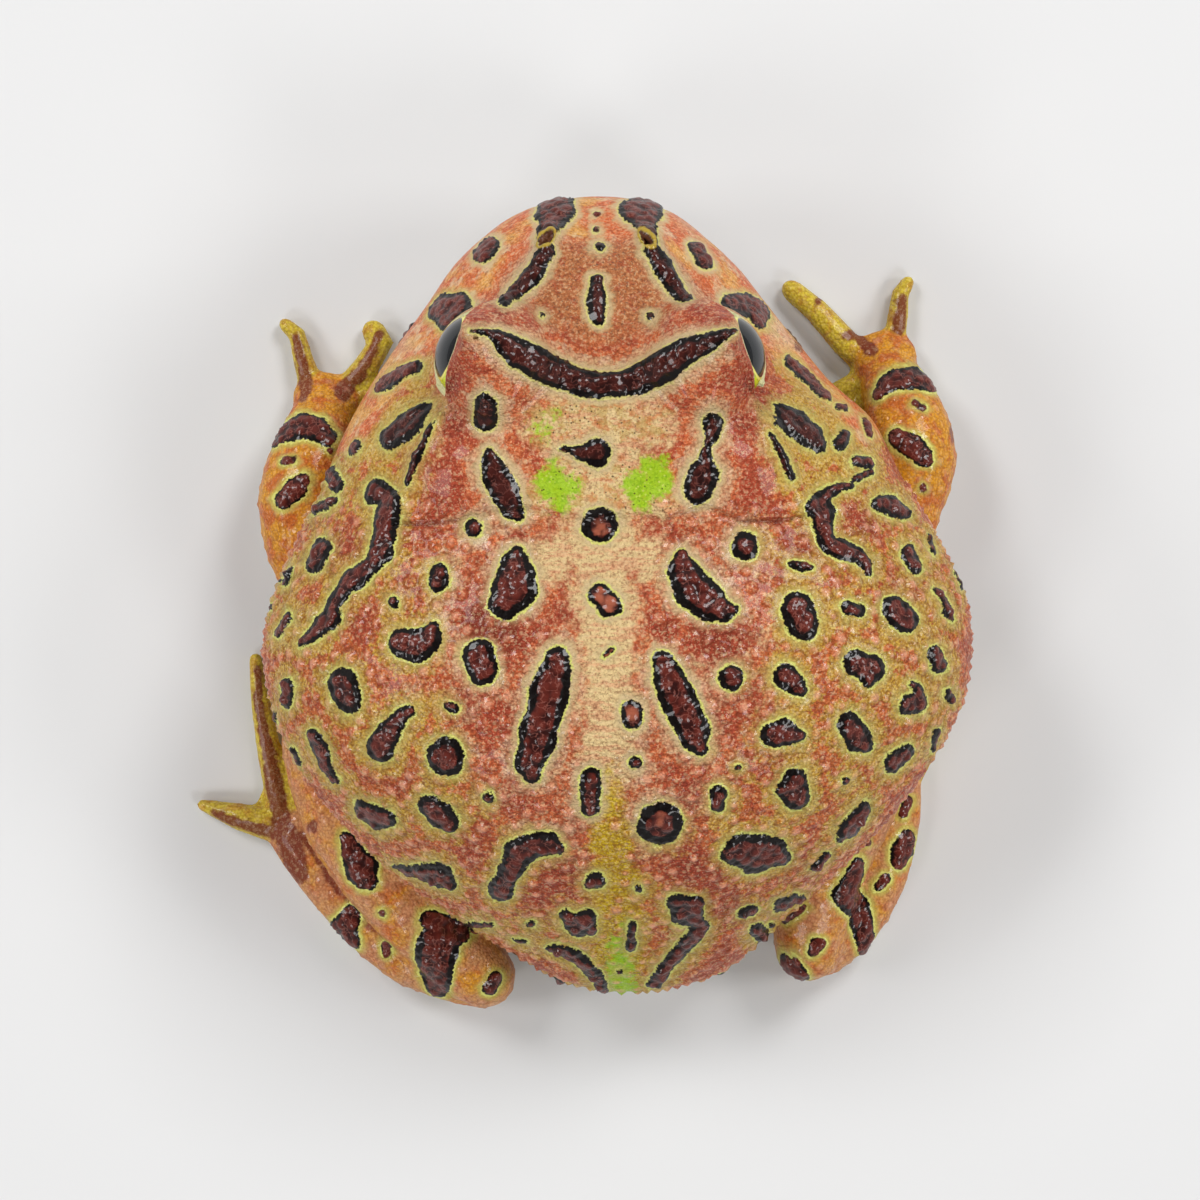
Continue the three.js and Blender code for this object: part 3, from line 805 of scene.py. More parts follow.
# %% [markdown]
# ## Eye openings
#
# The eye bulges from under a heavy upper lid. Cutting the opening with a Boolean leaves a raw edge.
# Here every point near the eye is described by its direction from the eye's centre instead. Inside an
# almond of directions the skin sinks behind the eyeball. Outside it stays between two shells: one that
# hugs the eyeball and falls away to the cheek, and one that keeps the boss from hanging over the edge.

# %% The almond of the eye opening
GAZE_FORWARD = math.radians(19)
OPENING_HALF = math.radians(66)
CORNER_HEIGHT = math.radians(9)
UPPER_EDGE = math.radians(58)
UPPER_ARCH = 0.62
LOWER_EDGE = math.radians(-17)
LOWER_ARCH = 0.9


def directions_from(centre, side):
    """Forward angle, upward angle and distance of each point, seen from an eye's centre."""
    away = (points - centre) * [side, 1, 1]
    distance = np.linalg.norm(away, axis=1)
    forward = np.arctan2(-away[:, 1], away[:, 0])
    upward = np.arcsin(away[:, 2] / np.maximum(distance, 1e-6))
    return forward, upward, distance


def opening_edges(forward):
    """How far along the opening a forward angle is, 1 at its corners, and the lower and upper edge there."""
    along = (forward - GAZE_FORWARD) / OPENING_HALF
    arch = np.clip(1 - along ** 2, 0, None)
    lower = CORNER_HEIGHT + (LOWER_EDGE - CORNER_HEIGHT) * arch ** LOWER_ARCH
    upper = CORNER_HEIGHT + (UPPER_EDGE - CORNER_HEIGHT) * arch ** UPPER_ARCH
    return along, lower, upper


def depth_in_opening(forward, upward):
    """How far inside the opening a direction is, in millimetres on the eyeball, negative outside."""
    along, lower, upper = opening_edges(forward)
    inside = np.minimum(upper - upward, upward - lower)
    beyond = (np.abs(along) - 1) * OPENING_HALF
    aside = -np.hypot(np.maximum(beyond, 0), upward - CORNER_HEIGHT)
    return np.where(np.abs(along) < 1, inside, aside) * eye_radius


print("opening spans", round(2 * OPENING_HALF * eye_radius, 1), "mm on the eyeball")

# %% Shells that shape the lids
LID_OVER = 0.4
LID_SWELL = 0.3
LID_EDGE = 0.3
LID_FALL = 0.6
LID_TOP = 1.4
CHEEK_START = 1.5
BOSS_START = 0.5
BOSS_SLOPE = 0.35
BOSS_CURVE = 0.75
WALL_FADE = 0.6
CORNER_SPAN = (0.75, 1.05)
WRINKLE_STEP = 0.85
WRINKLE_DEPTH = 0.07
WRINKLES_BEGIN = (0.4, 1.2)
WRINKLES_END = (3.0, 4.5)
ROUNDING = 0.5


def softer_max(first, second):
    """The larger of two values, with the corner between them rounded."""
    return (first + second + np.hypot(first - second, ROUNDING)) / 2


def lid_shells(out, forward, upward, radius):
    """The least and the greatest distance of the skin, out millimetres outside the opening."""
    least = radius + LID_OVER * rise(out, -0.05, LID_EDGE) + LID_SWELL * rise(out, 0, LID_TOP)
    least = least - LID_FALL * np.maximum(out - CHEEK_START, 0)
    greatest = radius + BOSS_START + BOSS_SLOPE * out + BOSS_CURVE * out ** 2
    along, _, upper = opening_edges(forward)
    wall = (radius + BOSS_START) * np.cos(upper) / np.maximum(np.cos(upward), 0.05)
    wall = wall * (1 + WALL_FADE * rise(np.abs(along), *CORNER_SPAN))
    over_the_eye = (upward > upper) & (np.abs(along) < CORNER_SPAN[1])
    return least, np.where(over_the_eye, np.minimum(greatest, wall), greatest)


def lid_wrinkles(out):
    """Fine rings round the opening, which die away on the lid's edge and towards the cheek."""
    rings = WRINKLE_DEPTH * np.cos(out * 2 * math.pi / WRINKLE_STEP)
    return rings * rise(out, *WRINKLES_BEGIN) * (1 - rise(out, *WRINKLES_END))


print("a lid stands", LID_OVER + LID_SWELL, "mm over the eyeball")

# %% Open the eyes
LID_BACK = 0.7
LID_REACH = 1.9


def open_eye(side_name, side):
    """Sinks the skin inside the opening and shapes the lids. Returns the depth field of this eye."""
    global points
    centre, radius = eye_ball(side_name)
    forward, upward, distance = directions_from(centre, side)
    depth = depth_in_opening(forward, upward)
    near = distance < radius * LID_REACH
    out = np.maximum(-depth, 0)
    least, greatest = lid_shells(out, forward, upward, radius)
    between = np.minimum(distance, np.maximum(greatest, least))
    outside = softer_max(between, least) + lid_wrinkles(out)
    inside = radius - LID_BACK * rise(depth, 0, LID_EDGE)
    target = np.where(depth > 0, inside, outside)
    ratio = np.where(near, target / distance, 1)
    points = centre + (points - centre) * ratio[:, None]
    return np.where(near, depth, -FAR)


opening = np.full(len(points), -FAR)
for side_name, side in (("left", 1), ("right", -1)):
    opening = np.maximum(opening, open_eye(side_name, side))
write_points(skin.data, points)
print("points behind the eyeballs:", int((opening > LID_EDGE).sum()))

# %% [markdown]
# ## The dark marks
#
# The marks are what people know this frog by. An image texture would only fit one view, so each mark
# is a chain of discs laid on the skin, as a painter dabs with a round brush: the place of each dab in
# the picture and its radius, both in pixels. The skin keeps one number for each point, the distance to
# the nearest mark's edge in millimetres, negative inside. Rim, core and halo are all read from it.

# %% Marks on the head
HEAD_MARKS = {
    "left_snout_stripe": [(555, 199, 19), (552, 212, 17), (549, 226, 12), (545, 238, 9)],
    "right_snout_stripe": [(638, 200, 18), (643, 214, 16), (647, 227, 11), (650, 239, 8)],
    "left_nose_stripe": [(546, 252, 9), (537, 268, 10), (525, 283, 10), (515, 292, 9), (506, 301, 7)],
    "right_nose_stripe": [(652, 250, 8), (661, 264, 10), (671, 281, 9), (685, 299, 8)],
    "upper_midline_dot": [(596, 214, 2)],
    "middle_midline_dot": [(596, 230, 3)],
    "lower_midline_dot": [(600, 247, 5.5)],
    "snout_bar": [(597, 282, 7), (597, 300, 9), (598, 318, 7)],
    "left_snout_dot": [(542, 315, 3)],
    "right_snout_dot": [(651, 317, 4.5)],
    "brow_bar": [(470, 331, 1.5), (484, 332, 3), (496, 336, 7), (506, 344, 11.5), (519, 353, 15),
                 (534, 362, 16.5), (550, 370, 16), (566, 377, 14.5), (583, 382, 13.5), (601, 385, 12.5),
                 (620, 384, 13), (637, 379, 15), (652, 372, 16), (668, 363, 16), (684, 353, 14),
                 (700, 346, 11.5), (714, 340, 8.5), (727, 334, 5), (736, 331, 2)],
    "left_lid_spot": [(486, 404, 11), (485, 420, 12)],
    "right_lid_spot": [(713, 423, 10), (711, 434, 8), (706, 447, 3), (705, 460, 7), (703, 475, 16),
                       (697, 490, 15)],
    "left_neck_stripe": [(490, 453, 4), (492, 464, 10), (497, 478, 14), (505, 493, 15), (512, 507, 11),
                         (519, 517, 5)],
    "teardrop": [(597, 452, 15), (584, 453, 9), (571, 451, 4), (561, 450, 1.5)],
    "left_lip_spot": [(488, 246, 12), (483, 253, 12.5)],
    "right_lip_spot": [(697, 249, 9), (704, 261, 10)],
    "left_cheek_mark": [(440, 308, 15), (457, 307, 16), (449, 318, 14)],
    "right_cheek_mark": [(731, 303, 11), (746, 305, 15), (758, 309, 15), (758, 320, 10)],
    "left_jaw_bar": [(380, 386, 8), (392, 378, 10), (405, 372, 9), (417, 367, 7)],
    "right_jaw_bar": [(790, 362, 7), (800, 371, 9), (812, 382, 9), (822, 393, 7), (829, 400, 3)],
    "left_temple_mark": [(391, 437, 13), (404, 427, 15), (418, 417, 14), (432, 408, 10)],
    "right_temple_mark": [(768, 408, 8), (781, 414, 13), (796, 424, 16), (809, 434, 15), (818, 444, 9)],
    "left_temple_stripe": [(437, 418, 2), (427, 434, 3), (418, 452, 4), (412, 470, 4.5), (407, 483, 3)],
    "right_temple_stripe": [(771, 434, 2), (777, 447, 3.5), (784, 461, 4), (791, 478, 3.5)],
}
print("head marks:", len(HEAD_MARKS))

# %% Marks down the middle and the shoulders
BACK_MARKS = {
    "left_blade_mark": [(518, 552, 6), (515, 564, 14), (515, 578, 20), (513, 590, 23), (505, 602, 17),
                        (498, 603, 11)],
    "right_blade_mark": [(681, 556, 7), (684, 573, 16), (694, 590, 20), (709, 603, 19), (722, 610, 13),
                         (734, 610, 5)],
    "left_long_mark": [(557, 658, 12), (555, 673, 17), (550, 690, 19), (546, 708, 19), (540, 726, 19),
                       (535, 745, 18), (530, 762, 15), (532, 774, 9)],
    "right_long_mark": [(663, 662, 11), (668, 677, 16), (677, 695, 18), (686, 715, 18), (694, 733, 16),
                        (700, 747, 9)],
    "left_casque_dot": [(474, 529, 9.5)],
    "right_casque_dot": [(745, 546, 14)],
    "right_fleck": [(791, 563, 4), (803, 566, 5), (811, 568, 2)],
    "lower_midline_bar": [(590, 777, 10), (591, 792, 10.5), (591, 808, 10)],
    "small_midline_spot": [(635, 763, 6.5)],
    "rump_ring": [(660, 823, 23)],
    "neck_star": [(600, 526, 18)],
    "vent_left_dot": [(597, 880, 8.5), (589, 885, 4)],
    "vent_right_dot": [(639, 889, 4)],
    "vent_stripe": [(633, 925, 4), (632, 935, 4.5), (631, 947, 5)],
    "vent_dot": [(619, 971, 3)],
    "left_shoulder_chain": [(376, 492, 13), (390, 500, 11), (386, 516, 14), (384, 535, 13), (382, 552, 12),
                            (370, 566, 9), (355, 578, 13), (344, 589, 9), (334, 605, 7), (331, 618, 11),
                            (320, 629, 9), (306, 640, 6), (300, 645, 3)],
    "right_shoulder_chain": [(851, 485, 3), (838, 487, 5), (827, 493, 6), (813, 508, 9), (822, 512, 13),
                             (822, 527, 11), (828, 543, 9), (843, 550, 11), (856, 554, 9), (866, 563, 7),
                             (868, 573, 4)],
    "left_upper_spot": [(439, 573, 10), (438, 583, 10)],
    "left_small_spot": [(394, 602, 6)],
    "left_big_spot": [(402, 643, 15), (415, 645, 17), (428, 639, 14), (433, 627, 6)],
    "left_middle_spot": [(479, 656, 17), (484, 669, 16)],
    "left_comma": [(447, 705, 4), (454, 707, 5)],
    "left_lower_spot": [(446, 757, 20)],
    "left_tailed_spot": [(380, 748, 16), (388, 735, 14), (395, 724, 9), (403, 714, 7), (411, 710, 6)],
    "left_pair_spot": [(430, 807, 12), (440, 815, 15), (449, 822, 12)],
    "left_fleck": [(489, 797, 6)],
    "left_hook": [(559, 849, 7), (548, 845, 13), (532, 845, 14), (519, 852, 16), (513, 866, 12),
                  (507, 879, 11), (501, 890, 14)],
    "right_upper_spot": [(797, 608, 17), (803, 623, 17)],
    "right_small_spot": [(848, 609, 7), (858, 611, 6)],
    "right_round_spot": [(732, 677, 13)],
    "right_bean_spot": [(786, 675, 13), (795, 684, 11), (800, 690, 7)],
    "right_wide_spot": [(772, 735, 12), (784, 732, 15), (797, 736, 9)],
    "right_lower_spot": [(795, 781, 14), (796, 796, 15), (782, 790, 8)],
    "right_hip_spot": [(718, 795, 10), (717, 805, 8)],
    "right_hip_fleck": [(739, 766, 3)],
    "right_hip_mark": [(730, 853, 10), (741, 851, 19), (756, 854, 23), (770, 852, 18), (781, 857, 10)],
}
print("back marks:", len(BACK_MARKS))

# %% Small rings and streaks whose core is orange
ORANGE_MARKS = {
    "neck_streak": [(600, 530, 7), (599, 523, 4)],
    "middle_ring": [(599, 595, 12), (611, 605, 12)],
    "middle_comma": [(605, 656, 2), (611, 651, 3)],
    "lower_ring": [(632, 710, 11), (632, 719, 11)],
    "rump_streak": [(661, 813, 3), (658, 826, 2)],
}
print("orange marks:", len(ORANGE_MARKS))

# %% Marks on the flanks and the rump
FLANK_MARKS = {
    "left_arm_spot": [(355, 449, 8)],
    "left_arm_dot": [(331, 450, 2.5)],
    "left_arm_pit_upper": [(330, 474, 8), (337, 484, 9)],
    "left_arm_pit_lower": [(316, 510, 6.5), (327, 505, 6), (335, 500, 4)],
    "left_side_1": [(322, 548, 11), (315, 562, 11)],
    "left_side_2": [(290, 570, 4), (285, 583, 5)],
    "left_side_3": [(288, 617, 5.5), (279, 634, 5.5)],
    "left_side_4": [(274, 579, 3)],
    "left_side_5": [(272, 607, 3)],
    "left_side_6": [(343, 684, 16), (348, 699, 15)],
    "left_side_7": [(288, 686, 8), (287, 701, 7)],
    "left_side_8": [(275, 712, 2.5), (275, 722, 2.5)],
    "left_side_9": [(314, 736, 8), (321, 750, 10), (326, 765, 8), (333, 778, 5), (338, 780, 3)],
    "left_side_10": [(293, 750, 4), (299, 763, 4)],
    "left_side_11": [(364, 811, 12), (376, 817, 15), (386, 818, 11)],
    "left_side_12": [(397, 867, 4), (410, 871, 7), (426, 873, 12), (440, 876, 15), (450, 883, 8)],
    "left_side_13": [(462, 921, 3), (476, 924, 5), (492, 925, 3.5)],
    "left_side_14": [(531, 924, 5)],
    "left_side_15": [(515, 939, 3), (523, 941, 3)],
    "left_rump_mark": [(566, 915, 7), (578, 924, 15), (588, 917, 9), (592, 930, 7)],
    "left_vent_band": [(549, 948, 4), (561, 950, 7), (574, 956, 9), (587, 967, 8), (598, 980, 7),
                       (604, 990, 6)],
    "right_rump_mark": [(675, 902, 9), (698, 903, 8), (688, 911, 18), (697, 922, 10)],
    "right_vent_band": [(702, 926, 9), (690, 939, 10), (676, 955, 9), (664, 970, 8), (653, 984, 8)],
    "right_rump_spot": [(743, 913, 6), (752, 910, 7)],
    "right_arm_dash": [(838, 407, 3), (845, 408, 4)],
    "right_arm_spot_1": [(865, 421, 4.5), (869, 433, 4.5)],
    "right_arm_spot_2": [(845, 434, 6), (839, 444, 7)],
    "right_arm_spot_3": [(856, 461, 6), (868, 463, 7)],
    "right_arm_spot_4": [(853, 480, 2.5), (862, 476, 3.5), (871, 472, 3)],
    "right_side_1": [(881, 504, 10), (893, 507, 12), (903, 513, 8)],
    "right_side_2": [(908, 553, 9), (915, 566, 9)],
    "right_side_3": [(928, 537, 3), (932, 550, 4)],
    "right_side_4": [(935, 591, 5), (944, 600, 4.5), (947, 611, 6), (951, 619, 3)],
    "right_side_5": [(957, 572, 3), (963, 586, 3)],
    "right_side_6": [(894, 609, 14), (905, 620, 15)],
    "right_side_7": [(856, 664, 14), (870, 669, 15), (868, 680, 8)],
    "right_side_8": [(908, 704, 11), (918, 703, 11), (918, 690, 5), (912, 684, 3)],
    "right_side_9": [(935, 653, 9), (939, 665, 9)],
    "right_side_10": [(948, 692, 5), (951, 700, 5)],
    "right_side_11": [(937, 732, 5), (934, 742, 4), (932, 749, 3)],
    "right_side_12": [(893, 763, 11), (905, 753, 10)],
    "right_side_13": [(849, 725, 12), (858, 738, 15), (865, 746, 8)],
    "right_side_14": [(864, 809, 8), (858, 817, 12), (848, 829, 12), (842, 838, 6)],
    "right_side_15": [(826, 855, 5), (820, 862, 5.5), (813, 866, 5)],
    "right_side_16": [(780, 905, 8), (792, 900, 9), (801, 898, 5)],
    "right_side_17": [(785, 919, 3.5), (795, 913, 4), (803, 908, 3)],
    "right_side_18": [(845, 780, 4)],
    "right_side_19": [(866, 842, 4)],
}
print("flank marks:", len(FLANK_MARKS))

# %% Bars on the limbs
LIMB_MARKS = {
    "left_arm_band": [(276, 441, 8), (287, 431, 12), (301, 425, 14), (316, 428, 13), (328, 437, 9)],
    "left_arm_patch": [(284, 500, 10), (295, 489, 12), (303, 480, 8)],
    "left_arm_dash": [(284, 462, 2.5), (294, 459, 2.5)],
    "right_arm_band": [(879, 394, 6), (888, 384, 10), (902, 378, 12), (917, 378, 12), (931, 386, 8)],
    "right_arm_patch": [(897, 437, 9), (909, 444, 13), (922, 455, 11), (929, 461, 5)],
    "right_arm_mark": [(915, 404, 2.5), (923, 407, 2.5)],
    "right_wrist_dots": [(923, 488, 2)],
    "left_shank_bar": [(347, 840, 8), (353, 855, 13), (361, 868, 18), (366, 878, 13)],
    "left_ankle_bar": [(351, 915, 10), (345, 928, 13), (339, 925, 9), (352, 940, 9)],
    "left_ankle_dots": [(387, 945, 5), (388, 953, 5)],
    "left_shank_dot": [(383, 913, 3.5)],
    "left_heel_bar": [(431, 920, 12), (447, 926, 13), (461, 934, 10), (440, 938, 20), (436, 955, 21),
                      (434, 972, 18), (438, 987, 13)],
    "left_heel_dot": [(496, 978, 6.5), (489, 988, 7)],
    "right_heel_dot": [(818, 944, 7), (814, 952, 6)],
    "right_heel_mark": [(766, 948, 6), (776, 959, 8), (789, 969, 8), (803, 977, 6), (813, 981, 3)],
    "right_shank_bar": [(857, 866, 8), (852, 881, 12), (846, 895, 14), (857, 906, 14), (862, 923, 12),
                        (866, 938, 10), (864, 950, 7)],
    "right_ankle_dot": [(880, 886, 5), (885, 880, 5)],
    "right_ankle_bar": [(908, 838, 9), (903, 850, 12), (899, 861, 9)],
    "right_foot_mark": [(908, 800, 4), (903, 814, 5)],
}
print("limb marks:", len(LIMB_MARKS))

# %% Soft brown streaks on the limbs, with no black rim
STREAKS = {
    "left_tarsus": [(278, 806, 8), (284, 826, 10), (288, 842, 13), (294, 858, 12), (301, 876, 7)],
    "left_tarsus_smudge": [(312, 826, 6)],
    "left_toe_up": [(258, 668, 3), (259, 700, 4), (264, 735, 5), (271, 770, 7), (276, 796, 8)],
    "left_toe_out": [(212, 812, 2.5), (232, 820, 4), (252, 826, 5), (272, 832, 6)],
    "left_finger_upright": [(297, 338, 3), (300, 352, 4), (303, 368, 4.5), (306, 384, 6), (304, 396, 6)],
    "left_finger_slanted": [(379, 334, 3), (374, 350, 4), (364, 366, 4.5), (353, 380, 6.5), (343, 391, 8)],
    "right_finger_slanted": [(818, 298, 2), (838, 314, 3.5), (856, 334, 5), (870, 350, 6)],
    "right_finger_upright": [(901, 300, 4), (900, 316, 5), (899, 331, 5)],
    "right_elbow": [(951, 430, 2.5), (953, 440, 2.5)],
    "left_leg_fold": [(298, 830, 1.4), (318, 860, 1.8), (342, 896, 1.8), (368, 925, 1.8), (394, 948, 1.5)],
}
print("streaks:", len(STREAKS))

# %% Marks the camera can't see
# x across and z up for the front and the back, y along and z up for the sides, and a radius, in mm.
FRONT_MARKS = {
    "snout_stripe": [(6.1, 24, 2.6), (6.2, 20.5, 2.6), (6.4, 17, 2.6), (7.0, 13, 2.3), (8.2, 9, 1.8)],
    "chin_middle": [(0.6, 13.5, 1.1), (0.4, 10.5, 1.3)],
    "lip_bar": [(17, 14.5, 2.3), (17.8, 10.5, 2.0)],
    "cheek_bar": [(26.5, 15, 2.3), (27.5, 11, 2.2)],
}
SIDE_MARKS = {
    "jaw_bar": [(-24, 15, 2.6), (-23, 11, 2.2)],
    "jaw_corner_bar": [(-13.5, 16, 2.4), (-13, 12, 1.8)],
    "flank_spot_1": [(2, 11, 1.6)],
    "flank_spot_2": [(8, 16, 1.8), (9, 13.5, 1.5)],
    "flank_spot_3": [(15.5, 11, 1.7)],
    "flank_spot_4": [(17.5, 16.5, 1.5)],
    "flank_spot_5": [(24, 14.5, 2.0), (25, 12.5, 1.4)],
    "flank_spot_6": [(31, 16.5, 1.5)],
    "flank_spot_7": [(33.5, 11, 1.5)],
}
BACK_END_MARKS = {
    "vent_band_down": [(8.5, 13, 1.6), (10.5, 9.5, 1.3)],
    "rump_spot_1": [(14, 12.5, 1.5), (15.2, 11.2, 1.0)],
    "rump_spot_2": [(20, 14, 1.6)],
    "rump_spot_3": [(4.5, 8, 1.2)],
}
ALWAYS_LAID = "snout_stripe"
MIDLINE_AT_BACK = -2.8
print("unseen marks:", 2 * (len(FRONT_MARKS) + len(SIDE_MARKS) + len(BACK_END_MARKS)))

# %% Dabs on the skin
OVERHANG = 0.5


def picture_dabs(chain):
    """The dabs of one chain: places on the skin and radii in millimetres."""
    places = [seen_at(across, down) for across, down, _ in chain]
    radii = [radius * PIXEL * (CAMERA_HEIGHT - place[2]) for (_, _, radius), place in zip(chain, places)]
    return places, radii


def overhung(place, radius):
    """Whether wider parts of the frog hide this dab from the camera."""
    top = place + np.array([0, 0, radius])
    return hit((0, 0, CAMERA_HEIGHT), top - (0, 0, CAMERA_HEIGHT))[2] > top[2] + OVERHANG


def unseen_places(side):
    """How to find the places of each table of unseen marks, on one side of the frog."""
    yield FRONT_MARKS, lambda x, z: seen_from_front(side * x, z)
    yield SIDE_MARKS, lambda y, z: seen_from_side(side, y + side, z)
    yield BACK_END_MARKS, lambda x, z: seen_from_back(MIDLINE_AT_BACK + side * x, z)


def unseen_dabs():
    """The dabs of the unseen marks on both sides, but for those that the camera would see after all."""
    for side in (1, -1):
        for marks, find in unseen_places(side):
            for name, chain in marks.items():
                places = [find(along, up) for along, up, _ in chain]
                radii = [radius for _, _, radius in chain]
                if name == ALWAYS_LAID or all(map(overhung, places, radii)):
                    yield places, radii


def edge_distance(near, places, radii):
    """Distance from each near point to the edge of a chain of dabs joined by tapering strokes."""
    best = np.linalg.norm(near - places[0], axis=1) - radii[0]
    for (start, end), (wide, narrow) in zip(itertools.pairwise(places), itertools.pairwise(radii)):
        axis = end - start
        share = np.clip((near - start) @ axis / max(axis @ axis, 1e-9), 0, 1)
        stroke = np.linalg.norm(near - start - share[:, None] * axis, axis=1)
        best = np.minimum(best, stroke - wide - share * (narrow - wide))
    return best


print("skin points to paint:", len(points))

# %% Uneven edges
LATTICE = 32


def rumple(points, size, seed):
    """Smooth random values from -1 to 1, with swells about size millimetres apart."""
    lattice = np.random.default_rng(seed).uniform(-1, 1, (LATTICE, LATTICE, LATTICE))
    cells = points / size
    low = np.floor(cells).astype(int)
    part = rise(cells - low, 0, 1)
    total = np.zeros(len(points))
    for corner in itertools.product((0, 1), repeat=3):
        weight = np.where(corner, part, 1 - part).prod(axis=1)
        x, y, z = ((low + corner) % LATTICE).T
        total += weight * lattice[x, y, z]
    return total


def shaken(points, size, amount, seed):
    """The points, each moved a little by smooth random amounts."""
    return points + amount * np.column_stack([rumple(points, size, seed + axis) for axis in range(3)])


wavy = shaken(points, size=2.4, amount=0.3, seed=11)
wobbly = shaken(wavy, size=0.9, amount=0.14, seed=21)
lumpy = shaken(points, size=1.3, amount=0.3, seed=31)
print("edges moved by up to", np.abs(wobbly - points).max().round(2), "mm")

# %% Paint every mark's distance
MARK_REACH = 4.0
PICTURE_FLATNESS = 0.35
RIM_SHARE = 0.36
RIM_LEAST = 0.15
SMALLEST_CORE = 0.15


def lay_mark(from_points, places, radii, distance, flatness=PICTURE_FLATNESS):
    """Lowers the distance near one mark to that mark's. Heights count by the flatness only, because a disc
    that is round in the picture is long down a steep flank."""
    squash = np.array([1, 1, flatness])
    places = np.array(places)
    margin = (MARK_REACH + max(radii)) / squash
    low, high = places.min(axis=0) - margin, places.max(axis=0) + margin
    near = ((from_points > low) & (from_points < high)).all(axis=1)
    near_distance = edge_distance(from_points[near] * squash, places * squash, radii)
    distance[near] = np.minimum(distance[near], near_distance)


def core_radii(radii):
    """The swollen core of a mark is narrower than the mark by its rim, the more so the wider the mark."""
    return [max(radius * (1 - RIM_SHARE) - RIM_LEAST, SMALLEST_CORE) for radius in radii]


def lay_marks_on_skin():
    """The distances from every mark's edge and from every core's edge, negative inside."""
    seen = [HEAD_MARKS, BACK_MARKS, ORANGE_MARKS, FLANK_MARKS, LIMB_MARKS]
    dabs = [(*picture_dabs(chain), PICTURE_FLATNESS) for marks in seen for chain in marks.values()]
    dabs += [(*chain, 1.0) for chain in unseen_dabs()]
    edge = np.full(len(points), MARK_REACH)
    core = np.full(len(points), MARK_REACH)
    for places, radii, flatness in dabs:
        lay_mark(wobbly, places, radii, edge, flatness)
        lay_mark(lumpy, places, core_radii(radii), core, flatness)
    return edge, core


def distance_from(marks):
    """The distance from the edges of these marks alone."""
    distance = np.full(len(points), MARK_REACH)
    for chain in marks.values():
        lay_mark(wobbly, *picture_dabs(chain), distance)
    return distance


renew_rays()
mark_distance, core_distance = lay_marks_on_skin()
orange_distance = distance_from(ORANGE_MARKS)
streak_distance = distance_from(STREAKS)
print("share of the skin under marks:", (mark_distance < 0).mean().round(3))

# %% [markdown]
# ## Raised marks and warts
#
# The marks aren't only colour: each has a beaded rim and a swollen glossy middle. The rest of the back
# is sown with low warts, and the flanks with small pointed ones that break the outline. They are sown
# on random points with a least distance between them, from a fixed seed, so that every run is alike.

# %% Swell the marks
CORE_LIFT = 0.22
CORE_EDGE = (-0.25, 0.45)
RIM_LIFT = 0.12
RIM_EDGE = (-0.1, 0.25)
GROOVE_DEPTH = 0.08
GROOVE_PLACE = 0.1
GROOVE_WIDTH = 0.25
LIMB_LOSS = 0.6


def mark_lift():
    """A shallow groove round the mark, a low rim, and a lumpy swollen core inside it."""
    lumps = 0.7 + 0.5 * rumple(points, size=1.2, seed=41)
    core = CORE_LIFT * rise(-core_distance, *CORE_EDGE) * lumps
    rim = RIM_LIFT * rise(-mark_distance, *RIM_EDGE)
    groove = -GROOVE_DEPTH * bell(mark_distance - GROOVE_PLACE, GROOVE_WIDTH)
    return core + rim + groove


off_limb = 1 - LIMB_LOSS * read_field(skin.data, "limb")
lift = mark_lift() * rise(-opening, 0, 1) * off_limb
lift_skin(lift)
print("marks raised up to", lift.max().round(2), "mm")

# %% Sow warts
WART_SEED = 7
WARTS = [
    # name, how many tries, least distance, radius, height, roundness
    ("back", 30000, 1.9, (0.55, 1.3), (0.2, 0.58), 1.7),
    ("flank", 16000, 2.1, (0.65, 1.1), (0.34, 0.62), 1.5),
    ("leg", 9000, 1.8, (0.5, 0.9), (0.08, 0.2), 2.0),
    ("rim", 24000, 0.8, (0.42, 0.62), (0.14, 0.26), 2.0),
    ("core", 24000, 1.3, (0.85, 1.5), (0.2, 0.44), 2.0),
]


def sow(candidates, spacing):
    """Keeps those candidates that are no nearer than spacing to one kept before."""
    taken = {}
    kept = []
    for number in candidates:
        place = points[number]
        cell = tuple((place // spacing).astype(int))
        beside = itertools.product(*[(c - 1, c, c + 1) for c in cell])
        others = (other for key in beside for other in taken.get(key, ()))
        if all(math.dist(place, other) >= spacing for other in others):
            taken.setdefault(cell, []).append(place)
            kept.append(number)
    return kept


print("kinds of warts:", [name for name, *_ in WARTS])

# %% Where warts may grow
BEHIND_HEAD = -13
BEHIND_JAW = -16
BACK_LEVEL = 16
FLANK_LEVELS = (5, 33)
LEG_LEVEL = 4
MARK_MARGIN = 0.5
LID_MARGIN = 2
LIP_MARGIN = 3
BARE_SPINE = (8, 2)
across, along, up = points.T
face = read_field(skin.data, "head")
limb = read_field(skin.data, "limb")
off_digits = read_field(skin.data, "digit") < 0.1
off_lids = opening < -LID_MARGIN
on_body = (np.abs(mark_distance) > MARK_MARGIN) & (limb < 0.5)
bare_width = BARE_SPINE[0] + (BARE_SPINE[1] - BARE_SPINE[0]) * rise(along, -3, 22)
off_spine = np.abs(across) > bare_width
where = {
    "back": on_body & off_spine & (along > BEHIND_HEAD) & (up > BACK_LEVEL) & (mark_distance > 0),
    "flank": on_body & (along > BEHIND_JAW) & (up > FLANK_LEVELS[0]) & (up < FLANK_LEVELS[1]),
    "leg": (limb > 0.5) & off_digits & (up > LEG_LEVEL) & (mark_distance > 0.3),
    "rim": off_digits & off_lids & (mark_distance < -0.1) & (core_distance > 0.05) & (mouth > LIP_MARGIN),
    "core": off_digits & off_lids & (core_distance < 0),
}
print("points where warts may grow:", {name: int(spot.sum()) for name, spot in where.items()})

